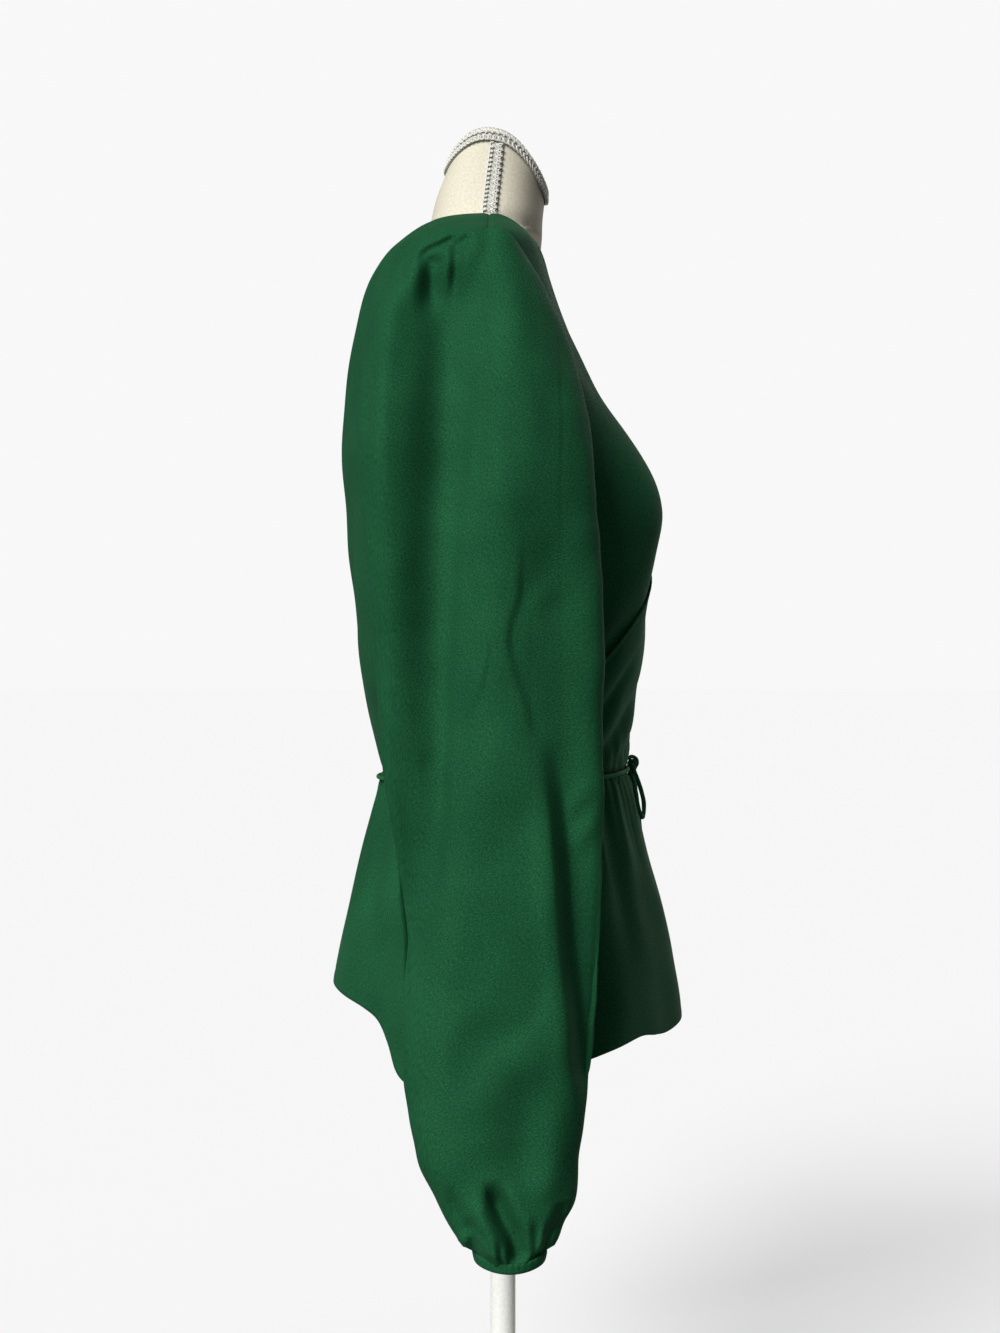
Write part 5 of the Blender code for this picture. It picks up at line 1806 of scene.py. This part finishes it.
    def build_sleeve(self, finish: bpy.types.Material) -> bpy.types.Object:
        """The sleeve itself, with its seam on the underside.

        Args:
            finish: its material.
        Returns:
            The finished piece.
        """
        round_arm = 2 * math.pi * np.arange(self.columns) / self.columns
        turn = HALF_TURN + round_arm + self.outer_share * np.sin(round_arm)
        share = np.linspace(0, 1, self.head_rows, endpoint=False) ** self.head_crowd
        top_z, foot_z = self.rings.rows[0][0], self.rings.rows[-1][0]
        run = np.linspace(0, 1, self.hanging_rows)
        z = top_z + (foot_z - top_z) * (run + self.foot_crowd * np.sin(math.pi * run) ** 2 * run)
        z = np.minimum.accumulate(np.clip(z, foot_z, top_z))
        level = self.rings.level(z)
        head = self.head(*np.broadcast_arrays(turn[None, :], share[:, None]))
        hanging = self.hanging(*np.broadcast_arrays(turn[None, :], level[:, None]))
        points = np.concatenate([head, hanging])
        cloth = Cloth(f"sleeve_{self.label}", points, float(self.side), closed=True)
        turns = np.broadcast_to(turn[None, :], points.shape[:2])
        away = cloth.rim_distance("first")
        started = smooth(away / self.fold_start + self.fold_at_seam)
        cloth.points[..., 0] += self.folds(points, turns) * started
        height = self.gathers(turns, points[..., 2], SLEEVE_GATHERS + self.side)
        free = smooth((points[..., 2] - self.still_below) / 0.05)
        sway = ripple(points, self.sway_scale, SLEEVE_SWAY + self.side)
        height += self.sway_mm * MM * sway * free
        fine = ripple(points, self.fine_sway_scale, SLEEVE_FINE_SWAY + self.side)
        height += self.fine_sway_mm * MM * fine * free
        cloth.move_out(height * started)
        on_top = smooth(np.cos(turns) * 1.4)
        cloth.move_out(self.seam_roll * bell(away - self.seam_roll_at, self.seam_roll_wide) * on_top)
        cloth.sew_down("first", self.seam_sink, self.seam_wide)
        under_bodice = np.exp(-((away / self.seam_tuck) ** 1.5)) * (1 - on_top)
        cloth.points[..., 0] -= self.side * self.seam_tuck * under_bodice
        cloth.points[..., 2] += self.foot_lift(cloth.points)
        tuck = self.tuck_rows(cloth.points[-1])
        whole = Cloth(cloth.name, np.concatenate([cloth.points, tuck]), float(self.side), closed=True)
        return dress(whole.build(finish), "crepe", whole.name)

    @staticmethod
    def tuck_rows(rim: Array) -> Array:
        """Rows that lead the sleeve's foot in behind the cuff's upper edge.

        Args:
            rim: the foot's last row.
        Returns:
            The rows from the top.
        """
        middle = rim.mean(0)
        shares, drops = np.array(TUCK_ROWS).T[..., None, None]
        rows = middle + (rim - middle) * shares
        rows[..., 2] = rim[:, 2] - drops[..., 0]
        return rows

    def build_cuff(self, finish: bpy.types.Material) -> bpy.types.Object:
        """The narrow band, a little puckered where the gathers are sewn in.

        Args:
            finish: its material.
        Returns:
            The finished piece.
        """
        foot = self.rings.rows[-1]
        middle = (foot[2] + foot[3]) / 2
        turn = HALF_TURN + 2 * math.pi * np.arange(self.columns) / self.columns
        share = np.linspace(0, 1, 12)
        rounded = self.cuff_round * (1 - np.clip(np.abs(share - 0.5) * 2, 0, 1) ** 4)
        z = self.cuff_top_z - self.cuff_tall * share
        thin = foot[4] - self.cuff_narrow * share + rounded
        wide = (foot[3] - foot[2]) / 2 - self.cuff_narrow * share + rounded
        pucker = self.pucker * np.sin(self.cuff_gathers * turn + 1.3 * np.sin(5 * turn))
        pucker = pucker[None, :] * (1 - share)[:, None]
        x = foot[1] + (thin[:, None] + pucker) * np.cos(turn)
        y = middle - (wide[:, None] + pucker) * np.sin(turn)
        points = np.stack([self.side * x, y, np.broadcast_to(z[:, None], x.shape)], -1)
        points[..., 2] += self.foot_lift(points)
        cloth = Cloth(f"cuff_{self.label}", points, float(self.side), closed=True, thick=self.cuff_thick)
        return dress(cloth.build(finish), "crepe", cloth.name)


# ---------------------------------------------------------------- tie


# Routes of the bow's loops and tails in tenths of a mm: x, height over the waist seam, and
# how far the cord's middle is from the cloth
BOW = {
    "tie_loop_right": (
        (-72, 12, 55), (-108, -40, 54), (-140, -125, 54), (-172, -225, 55), (-205, -300, 40),
        (-262, -338, 26), (-315, -312, 22), (-322, -240, 22), (-285, -165, 22), (-215, -105, 24),
        (-140, -60, 24), (-74, -34, 26),
    ),
    "tie_loop_left": (
        (72, 12, 55), (120, -26, 54), (185, -100, 50), (255, -200, 40), (315, -295, 30), (380, -350, 22),
        (440, -325, 22), (445, -245, 22), (380, -160, 22), (285, -100, 22), (170, -58, 22), (76, -34, 24),
    ),
    "tie_tail_right": (
        (30, -62, 30), (50, -110, 26), (105, -195, 22), (180, -300, 22), (265, -410, 22), (350, -530, 22),
        (420, -660, 22), (480, -800, 22),
    ),
    "tie_tail_left": (
        (74, -80, 26), (110, -135, 22), (165, -215, 22), (235, -320, 22), (320, -430, 22),
        (420, -535, 22), (510, -650, 22), (580, -770, 22),
    ),
}


# In the same measure from the knot's middle: the cord that it is wound over, and its curl
KNOT_CROSS = ((-66, 4, 6), (-35, 0, 10), (0, 0, 0), (35, 0, -10), (66, 4, -12))
KNOT_CURL = ((-34, 22, 52), (-12, 10, 66), (12, -12, 62), (28, -32, 44), (32, -36, 16), (22, -26, -8))


@dataclass
class Tie:
    """The thin rouleau that ties the top: round the waist, with a bow at the centre front."""

    body: Torso = TORSO_SHAPE
    peplum: Peplum = field(default_factory=Peplum)
    radius: float = 0.0015
    belt_clear: float = 0.0005
    belt_rise_side: float = -0.0055
    belt_tuck: float = 0.002  # how far its ends run into the knot
    belt_steps: int = 260
    knot_radii: Point = (0.0064, 0.0040, 0.0054)
    knot_rise: float = 0.0016
    knot_turns: float = 2.4
    knot_tight: float = 0.0023
    knot_long: float = 0.0056
    knot_tall: float = 1.45  # as a share of its depth
    knot_loose: float = 0.0004
    end_knot_radius: float = 0.0028
    gather_deep: float = 0.0011
    cord_sides: int = 14
    cord_points: int = 110
    uneven_share: float = 0.06
    uneven_scale: float = 0.009
    seam_gap: float = 0.0003
    lap_step: float = math.radians(8)
    lap_margin: float = math.radians(12)
    lap_side_margin: float = math.radians(6)
    steps: int = 18

    def on_front(self, x: float, rise: float, off: float) -> Array:
        """A point off the outside of the peplum's outer layer.

        Args:
            x: towards the wearer's left.
            rise: over the waist seam.
            off: distance off the cloth.
        Returns:
            The point.
        """
        rings = self.peplum.rings
        row = rings.at(rings.level(min(rise, 0.0)))
        angle = math.copysign(math.asin((abs(x) / row[1]) ** (1 / SQUARENESS)), x)
        share = max(0.0, rise / float(self.peplum.hem_rise(np.array(angle))))
        px, py = map(float, ring_xy(row, np.array(angle)))
        wave = self.peplum.flute_deep * math.cos(self.peplum.flutes * angle + self.peplum.flute_turn)
        out = self.peplum.cloth_out + self.body.lift_high + self.gather_deep / 2 + off
        out += wave * share**self.peplum.flute_growth
        return np.array([px, py, WAIST_Z + rise]) + unit(np.array([px, py, 0.0])) * out

    def route(self, name: str) -> Array:
        """The middle line of a loop or tail."""
        places = spline(BOW[name], self.steps + 1) * MM / 10
        return np.array([self.on_front(*spot) for spot in places])

    def waist_layers(self, angle: Array) -> Array:
        """Thickness of the cloth under the tie.

        Args:
            angle: round the body.
        Returns:
            Distances off the body.
        """
        turn = wrapped(angle)
        right = smooth((turn + self.body.over_reach + self.lap_margin) / self.lap_step)
        left = smooth((QUARTER + self.lap_side_margin - turn) / self.lap_step)
        return self.peplum.cloth_out + self.body.lift_high * right * left

    def belt(self) -> Array:
        """The middle line round the waist, from one side of the knot to the other.

        Returns:
            Its points.
        """
        reach = (self.knot_radii[0] - self.belt_tuck) / ARC_RADIUS
        angle = np.linspace(reach, 2 * math.pi - reach, self.belt_steps)
        forward = np.maximum(0, np.cos(angle))
        rise = self.belt_rise_side * (1 - forward**3)
        row = self.peplum.rings.at(self.peplum.rings.level(rise))
        x, y = ring_xy(row, angle)
        away = unit(np.stack([x, y], -1))
        out = self.waist_layers(angle) + self.belt_clear + self.radius
        flat = np.stack([x, y], -1) + away * out[:, None]
        return np.concatenate([flat, (WAIST_Z + rise)[:, None]], 1)

    def uneven(self, path: Array, seed: int) -> Array:
        """The cord's thickness along a path: a turned tube is never quite even."""
        return self.radius * (1 + self.uneven_share * ripple(path, self.uneven_scale, seed))

    def knot_centre(self) -> Array:
        """The middle of the bow's knot."""
        off = self.knot_radii[1] + self.seam_gap + self.gather_deep / 2
        return self.on_front(0.0, self.knot_rise, off)

    def build_knot(self, finish: bpy.types.Material) -> bpy.types.Object:
        """The knot: cord wound over the crossing, with a small curl standing above it.

        Args:
            finish: its material.
        Returns:
            The finished piece.
        """
        centre = self.knot_centre()
        t = np.linspace(0, 2 * math.pi * self.knot_turns, 90)
        tight = self.knot_tight
        upright = self.knot_tall * tight * np.sin(t + 0.4) + self.knot_loose * np.sin(t * 0.5)
        wrap = np.stack([(t / t[-1] - 0.5) * self.knot_long, -tight * np.cos(t + 0.4), upright], 1)
        cross = np.array(KNOT_CROSS) * MM / 10
        curl = np.array(KNOT_CURL) * MM / 10
        parts = []
        for line in (wrap, spline(cross, 30), spline(curl, 40)):
            path = line + centre
            parts.append(tube(path, self.uneven(path, KNOT_SEED) * 0.95, self.cord_sides))
        return dress(cord_object("tie_knot", parts, finish), "rouleau", "tie_knot")

    def build_end_knot(self, name: str, tail: Array, finish: bpy.types.Material) -> bpy.types.Object:
        """An overhand knot in a tail's end.

        Args:
            name: its node.
            tail: the tail's middle line.
            finish: its material.
        Returns:
            The finished piece.
        """
        run = unit(tail[-1] - tail[-2])
        centre = tail[-1] + run * (self.end_knot_radius + self.seam_gap)
        centre[1] -= self.end_knot_radius - self.radius
        t = np.linspace(0, 2 * math.pi, 96, endpoint=False)
        size = self.end_knot_radius * 0.24
        across = unit(np.cross(run, [0.0, 1.0, 0.0]))
        depth = np.cross(across, run)
        trefoil = [np.sin(t) + 2 * np.sin(2 * t), np.cos(t) - 2 * np.cos(2 * t), -1.2 * np.sin(3 * t)]
        path = centre + size * np.stack(trefoil, 1) @ np.array([across, run, depth])
        stub = np.array([tail[-1] - run * 0.0004, centre + run * self.end_knot_radius * 0.9])
        loop = tube(path, self.radius * 0.72, 12, closed=True)
        parts = [loop, tube(even_along(stub, 10), self.radius * 0.8, 12)]
        return dress(cord_object(name, parts, finish), "rouleau", name)

    def build(self, finish: bpy.types.Material) -> None:
        """Make the bow's loops, tails and knots, and the cord round the waist.

        Args:
            finish: their material.
        """
        for name in BOW:
            route = self.route(name)
            path = even_along(spline(route, 140), self.cord_points)
            cord = tube(path, self.uneven(path, len(name)), self.cord_sides)
            piece = cord_object(name, [cord], finish)
            dress(piece, "rouleau", name)
            length = float(running(path)[-1])
            if "tail" in name:
                knot = self.build_end_knot(name.replace("tail", "end_knot"), route, finish)
        self.build_knot(finish)
        belt = self.belt()
        parts = [tube(belt, self.uneven(belt, BELT_SEED), self.cord_sides)]
        dress(cord_object("tie_waist_cord", parts, finish), "rouleau", "tie_waist_cord")


# ---------------------------------------------------------------- dress form


# The braids' rows of loops. Round the rim: place in quarters of the braid's height, pitch in
# mm, cords. Up the side: place and width as shares of the braid's width, pitch in mm, cords;
# the wide row lies to the front
RIM_BRAID = ((0.9, 4.2, 2), (3.0, 3.5, 1))
SIDE_BRAID = ((-0.21, 0.58, 4.3, 2), (0.37, 0.34, 3.2, 1))


@dataclass
class DressForm:
    """The padded form: linen over a smooth body, with gimp braid at its neck."""

    nodes: dict[str, bpy.types.Object]
    neck: Rings = Rings(NECK)
    neck_slant: float = 0.0105
    neck_arch: float = 0.012
    rim_braid_tall: float = 0.0085
    side_braid_wide: float = 0.0105
    side_braid_foot: float = 0.3885
    braid_join: float = 0.0010
    gimp_radius: float = 0.00062
    gimp_sides: int = 6
    loop_points: int = 12
    loop_lean: tuple[float, float] = (0.40, 0.30)  # shares of a loop's pitch, for one cord and two
    loop_tall: tuple[float, float] = (1.0, 0.78)
    loop_apart: float = 0.2
    loop_weave: float = 0.7  # how far cords rise where they cross, in their radius
    ground_out: float = 0.0011
    gimp_out: float = 0.0012
    rim_columns: int = 220
    rim_rows: int = 7
    rim_over: float = 0.0008  # how far the rim's ground stands over the neck
    side_columns: int = 9
    side_rows: int = 40
    side_steps: int = 160
    join_y: float = 0.005  # the middle that the cover's threads run round
    neck_foot: float = 0.385
    neck_radius: float = 0.050
    body_radius: float = 0.110

    def rim_rise(self, angle: Array) -> Array:
        """The height of the neck's rim."""
        return self.neck.rows[-1][0] - self.neck_slant * np.cos(angle) - self.neck_arch * np.cos(2 * angle)

    def neck_point(self, angle: Array, share: Array, out: Array | float = 0.0) -> Array:
        """Points of the neck: share 0 at its foot and 1 at its rim.

        Args:
            angle: round the neck.
            share: of the way up.
            out: distance off it.
        Returns:
            The points.
        """
        row = self.neck.at((len(self.neck.rows) - 1) * np.asarray(share, float))
        x, y = ring_xy(row, angle)
        foot = self.neck.rows[0][0]
        z = WAIST_Z + foot + (self.rim_rise(angle) - foot) * share
        away = unit(np.stack([x, y - row[..., 2]], -1)) * np.asarray(out)[..., None]
        return np.stack(np.broadcast_arrays(x + away[..., 0], y + away[..., 1], z), -1)

    def build_body(self, finish: bpy.types.Material) -> bpy.types.Object:
        """The form itself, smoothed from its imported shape.

        Args:
            finish: its material.
        Returns:
            The finished piece.
        """
        activate(None)
        made = self.nodes["dress_form"].copy()
        made.data = self.nodes["dress_form"].data.copy()
        made.parent = None
        for key in list(made.keys()):
            del made[key]
        made.name = "cover"
        made.hide_render = made.hide_viewport = False
        bpy.context.scene.collection.objects.link(made)
        activate(made)
        bpy.ops.object.mode_set(mode="EDIT")
        bpy.ops.mesh.select_all(action="SELECT")
        bpy.ops.mesh.remove_doubles(threshold=1e-5)
        slack = math.radians(60)
        bpy.ops.mesh.tris_convert_to_quads(face_threshold=slack, shape_threshold=slack)
        bpy.ops.object.mode_set(mode="OBJECT")
        round_edges(made, "SUBSURF", levels=2, render_levels=2)
        bpy.ops.object.shade_smooth()
        self.wrap_uv(made)
        made.data.materials.clear()
        made.data.materials.append(finish)
        return dress(made, "linen", "dress_form")

    def wrap_uv(self, piece: bpy.types.Object) -> None:
        """Give a round piece cloth coordinates round and up it, with the join at the back.

        Args:
            piece: the piece.
        """
        mesh = piece.data
        for old in list(mesh.uv_layers):
            mesh.uv_layers.remove(old)
        own = read(mesh.vertices, "co", np.float32, 3)[read(mesh.loops, "vertex_index")]
        turn = np.arctan2(own[:, 0], -(own[:, 1] - self.join_y))
        start, total = read(mesh.polygons, "loop_start"), read(mesh.polygons, "loop_total")
        face = np.repeat(np.arange(len(start)), total)
        high = np.maximum.reduceat(turn, start)[face]
        low = np.minimum.reduceat(turn, start)[face]
        turn = np.where((high - low > math.pi) & (turn < 0), turn + 2 * math.pi, turn)
        radius = np.where(own[:, 2] > WAIST_Z + self.neck_foot, self.neck_radius, self.body_radius)
        layer = mesh.uv_layers.new(name="cloth")
        layer.data.foreach_set("uv", np.stack([turn * radius, own[:, 2]], 1).astype(np.float32).ravel())

    def scroll(
        self, line: Array, side: Array, out: Array, half: float, pitch_mm: float, cords: int, closed: bool,
    ) -> list[Mesh]:
        """A row of looping gimp cords along a line.

        Args:
            line: the middle of the row, evenly spaced points.
            side: unit vectors across the row at each.
            out: unit vectors off the form at each.
            half: half the row's height.
            pitch_mm: from one loop to the next.
            cords: one for plain loops, or two that loop through each other.
            closed: whether the row goes all round.
        Returns:
            Tubes as points, quads and coordinates.
        """
        run = running(line)
        total = run[-1] + (np.linalg.norm(line[0] - line[-1]) if closed else 0.0)
        loops = max(3, round(total / (pitch_mm * MM)))
        pitch = total / loops
        phase = 2 * math.pi * np.arange(loops * self.loop_points) / self.loop_points
        tall = half - self.gimp_radius
        parts = []
        for number in range(cords):
            way = 1.0 if number == 0 else -1.0
            own = phase + math.pi * number
            along = phase / (2 * math.pi) * pitch - self.loop_lean[cords - 1] * pitch * np.sin(own)
            across = np.cos(own) * self.loop_tall[cords - 1] + (cords - 1) * self.loop_apart
            across *= way * tall
            lift = self.gimp_radius * (1.0 + self.loop_weave * way * np.sin(own))
            along = along % total if closed else np.clip(along, 0, run[-1])
            grid = np.append(run, total) if closed else run
            found = []
            for values in (line, side, out):
                ring = np.concatenate([values, values[:1]]) if closed else values
                found.append(np.stack([np.interp(along, grid, ring[:, k]) for k in range(3)], 1))
            path = found[0] + found[1] * across[:, None] + found[2] * lift[:, None]
            parts.append(tube(path, self.gimp_radius, self.gimp_sides, closed=closed))
        return parts

    def ground(self, grid: Array, closed: bool) -> Mesh:
        """The flat woven ground under the gimp, as a thin closed band.

        Args:
            grid: points of its outer face.
            closed: whether it goes all round.
        Returns:
            Points, quads and coordinates.
        """
        inner = grid - grid_normals(grid, closed, 1.0) * CLOTH_THICK
        rows, columns = grid.shape[:2]
        count = rows * columns
        quads = grid_quads(rows, columns, closed).reshape(-1, 4)
        uv = grid_uv(grid, closed).reshape(-1, 4, 2)
        index = np.arange(count).reshape(rows, columns)
        rims = [index[0], index[-1]] if closed else [index[0], index[-1], index[:, 0], index[:, -1]]
        bands = []
        for rim in rims:
            before, after = pairs(rim, closed)
            bands.append(np.stack([before, after, after + count, before + count], 1))
        faces = np.concatenate([quads, quads[:, ::-1] + count, *bands])
        corners = np.concatenate([uv, uv[:, ::-1], np.zeros((sum(map(len, bands)), 4, 2))])
        return np.concatenate([grid.reshape(-1, 3), inner.reshape(-1, 3)]), faces, corners

    def build_rim_braid(self, finishes: Finishes) -> bpy.types.Object:
        """The braid round the rim of the neck: two rows of scrolls on a ground.

        Args:
            finishes: every material.
        Returns:
            The finished piece.
        """
        angles = 2 * math.pi * np.arange(self.rim_columns) / self.rim_columns
        height = self.rim_rise(angles) - self.neck.rows[0][0]
        drops = np.linspace(self.rim_braid_tall, -self.rim_over, self.rim_rows)
        shares = 1 - drops[:, None] / height[None, :]
        grid = self.neck_point(np.broadcast_to(angles, shares.shape), shares, self.ground_out)
        parts = [self.ground(grid, True)]
        half = self.rim_braid_tall / 4
        for place, pitch_mm, cords in RIM_BRAID:
            share = 1 - half * place / height
            line = self.neck_point(angles, share, self.gimp_out)
            upper = self.neck_point(angles, share + 0.05, self.gimp_out)
            side = unit(upper - line)
            run = unit(np.roll(line, -1, 0) - np.roll(line, 1, 0))
            out = unit(np.cross(run, side))
            parts += self.scroll(line, side, out, half, pitch_mm, cords, True)
        return self.join_braid("neck_rim_braid", parts, finishes)

    def build_side_braid(self, side: int, finishes: Finishes) -> bpy.types.Object:
        """The braid up one side of the neck: a narrow and a wide row with a line between.

        Args:
            side: 1 for the wearer's left and -1 for the right.
            finishes: every material.
        Returns:
            The finished piece.
        """
        name = "neck_side_braid_" + ("left" if side > 0 else "right")
        middle = side * QUARTER
        height = float(self.rim_rise(np.array(middle))) - self.neck.rows[0][0]
        low = (self.side_braid_foot - self.neck.rows[0][0]) / height
        high = 1 - (self.rim_braid_tall + self.braid_join) / height
        half = self.side_braid_wide / 2 / self.neck.rows[2][1]
        angles = np.linspace(middle - half, middle + half, self.side_columns)
        shares = np.linspace(low, high, self.side_rows)
        grid = self.neck_point(*np.broadcast_arrays(angles[None, :], shares[:, None]), self.ground_out)
        parts = [self.ground(grid, False)]
        fine = np.linspace(low, high, self.side_steps)
        for place, wide, pitch_mm, cords in SIDE_BRAID:
            angle = middle + 2 * half * side * place
            line = self.neck_point(np.full(self.side_steps, angle), fine, self.gimp_out)
            beside = self.neck_point(np.full(self.side_steps, angle + 0.02), fine, self.gimp_out)
            across = unit(beside - line)
            out = unit(np.cross(across, np.gradient(line, axis=0)))
            out *= np.sign(np.sum(out * line, axis=1, keepdims=True))
            parts += self.scroll(line, across, out, self.side_braid_wide * wide / 2, pitch_mm, cords, False)
        return self.join_braid(name, parts, finishes)

    @staticmethod
    def join_braid(name: str, parts: list[Mesh], finishes: Finishes) -> bpy.types.Object:
        """One piece from a braid's ground and its cords, the ground in its own grey material, which is
        painted shade between the loops.

        Args:
            name: its node.
            parts: the ground and then the cords.
            finishes: every material.
        Returns:
            The finished piece.
        """
        made = cord_object(name, parts, finishes.braid)
        made.data.materials.append(finishes.tape)
        for face in made.data.polygons[: len(parts[0][1])]:
            face.material_index = 1
        return dress(made, "braid", name)

    def build(self, finishes: Finishes) -> None:
        """Make the form and its braids.

        Args:
            finishes: every material.
        """
        self.build_body(finishes.linen)
        self.build_rim_braid(finishes)
        for side in (-1, 1):
            self.build_side_braid(side, finishes)


# ---------------------------------------------------------------- stand


@dataclass
class Stand:
    """The round steel base with its pole and the collar that carries the form."""

    around: int = 128
    edge: float = 0.003
    edge_steps: int = 4
    pole_edge: float = 0.0004
    crisp: float = math.radians(35)  # edges sharper than this stay edges

    def drum(self, node: str, edge: float, finish: bpy.types.Material) -> bpy.types.Object:
        """A round piece at its node's size and place, with softened edges.

        Args:
            node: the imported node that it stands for.
            edge: how wide its rounded edges are.
            finish: its material.
        Returns:
            The finished piece.
        """
        low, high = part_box(node)
        middle = (low + high) / 2
        activate(None)
        bpy.ops.mesh.primitive_cylinder_add(
            vertices=self.around, radius=(high.x - low.x) / 2, depth=high.z - low.z, location=middle
        )
        made = bpy.context.object
        made.name = node + "_turned"
        place_in_mesh(made)
        round_edges(made, "BEVEL", width=edge, segments=self.edge_steps, limit_method="ANGLE")
        bpy.ops.object.shade_smooth_by_angle(angle=self.crisp)
        made.data.materials.append(finish)
        return dress(made, "painted_steel", node)

    def build(self, finish: bpy.types.Material) -> None:
        """Make the base, pole and collar.

        Args:
            finish: their material.
        """
        self.drum("stand_base", self.edge, finish)
        self.drum("stand_pole", self.pole_edge, finish)
        self.drum("stand_collar", self.edge / 2, finish)


# ---------------------------------------------------------------- sheets of cloth


class Held(Enum):
    """How a panel is held."""

    HUNG = "hung"
    GATHERED = "gathered"
    DRAPED = "draped"


@dataclass(frozen=True)
class Cut:
    """The flat piece that a panel was cut from."""

    width: float
    length: float
    area: float
    held: Held
    rests_on: tuple[str, ...]


# ---------------------------------------------------------------- studio


@dataclass(frozen=True)
class Studio:
    """A pale floor, soft light from the wearer's back right and above, and the camera."""

    eye: Point = (-1.8, 0.00216, 0.56)
    lens: float = 67.5
    sensor: float = 36.0
    backdrop: float = 0.94  # how bright the empty studio looks
    towards: Point = (-0.76, 0.47, 0.58)  # where the big soft light stands
    ambient: float = 0.06
    softbox: float = 0.55
    softbox_edge: float = 2.2  # how sharply the big soft light ends
    key: float = 3.75
    key_spread: float = math.radians(30)
    fill: float = 1.3
    fill_spread: float = math.radians(60)
    fill_towards: Point = (0.86, -0.45, 0.28)
    floor_radius: float = 60.0
    floor_sides: int = 96
    floor_glow: float = 0.50  # a floor that is lit from beneath
    floor_greys: tuple[float, float] = (0.445, 0.455)

    def camera(self) -> None:
        """A level camera square to the wearer's right side."""
        data = bpy.data.cameras.new("studio_camera")
        data.lens, data.sensor_width = self.lens, self.sensor
        data.clip_start, data.clip_end = 0.05, 500.0
        made = link("studio_camera", data)
        made.location = self.eye
        made.rotation_euler = (QUARTER, 0.0, -QUARTER)
        bpy.context.scene.camera = made

    def sun(self, name: str, towards: Point, strength: float, spread: float) -> None:
        """A wide soft light.

        Args:
            name: of the light.
            towards: the direction that it shines from.
            strength: in watts a square metre.
            spread: its apparent size, as an angle.
        """
        data = bpy.data.lights.new(name, "SUN")
        data.energy, data.angle = strength, spread
        link(name, data).rotation_euler = Vector(towards).to_track_quat("Z", "Y").to_euler()

    def world(self) -> None:
        """An even pale studio that lights the object less than it looks."""
        world = bpy.data.worlds.new("studio")
        bpy.context.scene.world = world
        world.use_nodes = True
        tree = world.node_tree
        tree.nodes.clear()
        ray = add_node(tree, "LightPath", {}).outputs["Is Camera Ray"]
        seen = add_node(tree, "Background", {"Color": (self.backdrop,) * 3 + (1.0,)})
        way = add_node(tree, "TexCoord", {}).outputs["Generated"]
        towards = tuple(Vector(self.towards).normalized())
        facing = add_node(tree, "VectorMath", {"operation": "DOT_PRODUCT", 1: towards}, _0=way)
        near = add_node(tree, "Math", {"operation": "MAXIMUM", 1: 0.0}, _0=facing.outputs["Value"])
        edge = add_node(tree, "Math", {"operation": "POWER", 1: self.softbox_edge}, _0=near)
        shine = {"operation": "MULTIPLY_ADD", 1: self.softbox, 2: self.ambient}
        light = add_node(tree, "Background", {}, Strength=add_node(tree, "Math", shine, _0=edge))
        add_node(tree, "OutputWorld", {}, Surface=add_node(tree, "MixShader", {}, _0=ray, _1=light, _2=seen))

    def floor(self) -> None:
        """A wide pale floor."""
        activate(None)
        bpy.ops.mesh.primitive_circle_add(
            vertices=self.floor_sides, radius=self.floor_radius, fill_type="NGON"
        )
        made = bpy.context.object
        made.name = "studio_floor"
        place_in_mesh(made)
        finish, tree, shader = new_material("pale_floor")
        place = add_node(tree, "TexCoord", {}).outputs["Object"]
        speckle = add_node(tree, "TexNoise", {"Scale": 3.0}, Vector=place)
        ramp = add_node(tree, "ValToRGB", {}, Fac=speckle)
        for mark, grey in zip(ramp.color_ramp.elements, self.floor_greys):
            mark.color = (grey, grey, grey, 1.0)
        plain = {"Roughness": 1.0, "Specular IOR Level": 0.0, "Emission Strength": self.floor_glow}
        set_node(shader, plain | {"Emission Color": (1.0, 1.0, 1.0, 1.0)}, {"Base Color": ramp})
        made.data.materials.append(finish)
        made.visible_diffuse = False  # a studio floor far larger than the set would light it from below

    def build(self) -> None:
        """Set up the whole studio."""
        self.camera()
        self.world()
        self.floor()
        self.sun("key", self.towards, self.key, self.key_spread)
        self.sun("fill", self.fill_towards, self.fill, self.fill_spread)
        bpy.context.scene.view_settings.view_transform = "Standard"
        log.info("studio ready")


# ---------------------------------------------------------------- the whole


def corners(box: tuple[Vector, Vector]) -> list[list[float]]:
    """A box as plain lists of numbers."""
    return [[float(x) for x in corner] for corner in box]


def main() -> None:
    """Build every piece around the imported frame."""
    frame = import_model()
    Studio().build()
    finishes = Finishes.make()
    Tie().build(finishes.rouleau)
    Bodice().build(finishes.crepe)
    Peplum().build(finishes.crepe)
    for side in (-1, 1):
        sleeve = Sleeve(side)
        sleeve.build_sleeve(finishes.crepe)
        sleeve.build_cuff(finishes.crepe)
    DressForm(frame["nodes"]).build(finishes)
    Stand().build(finishes.paint)
    log.info("all pieces built")


if __name__ == "__main__":
    logging.basicConfig(level=logging.INFO, format="%(name)s: %(message)s")
    main()
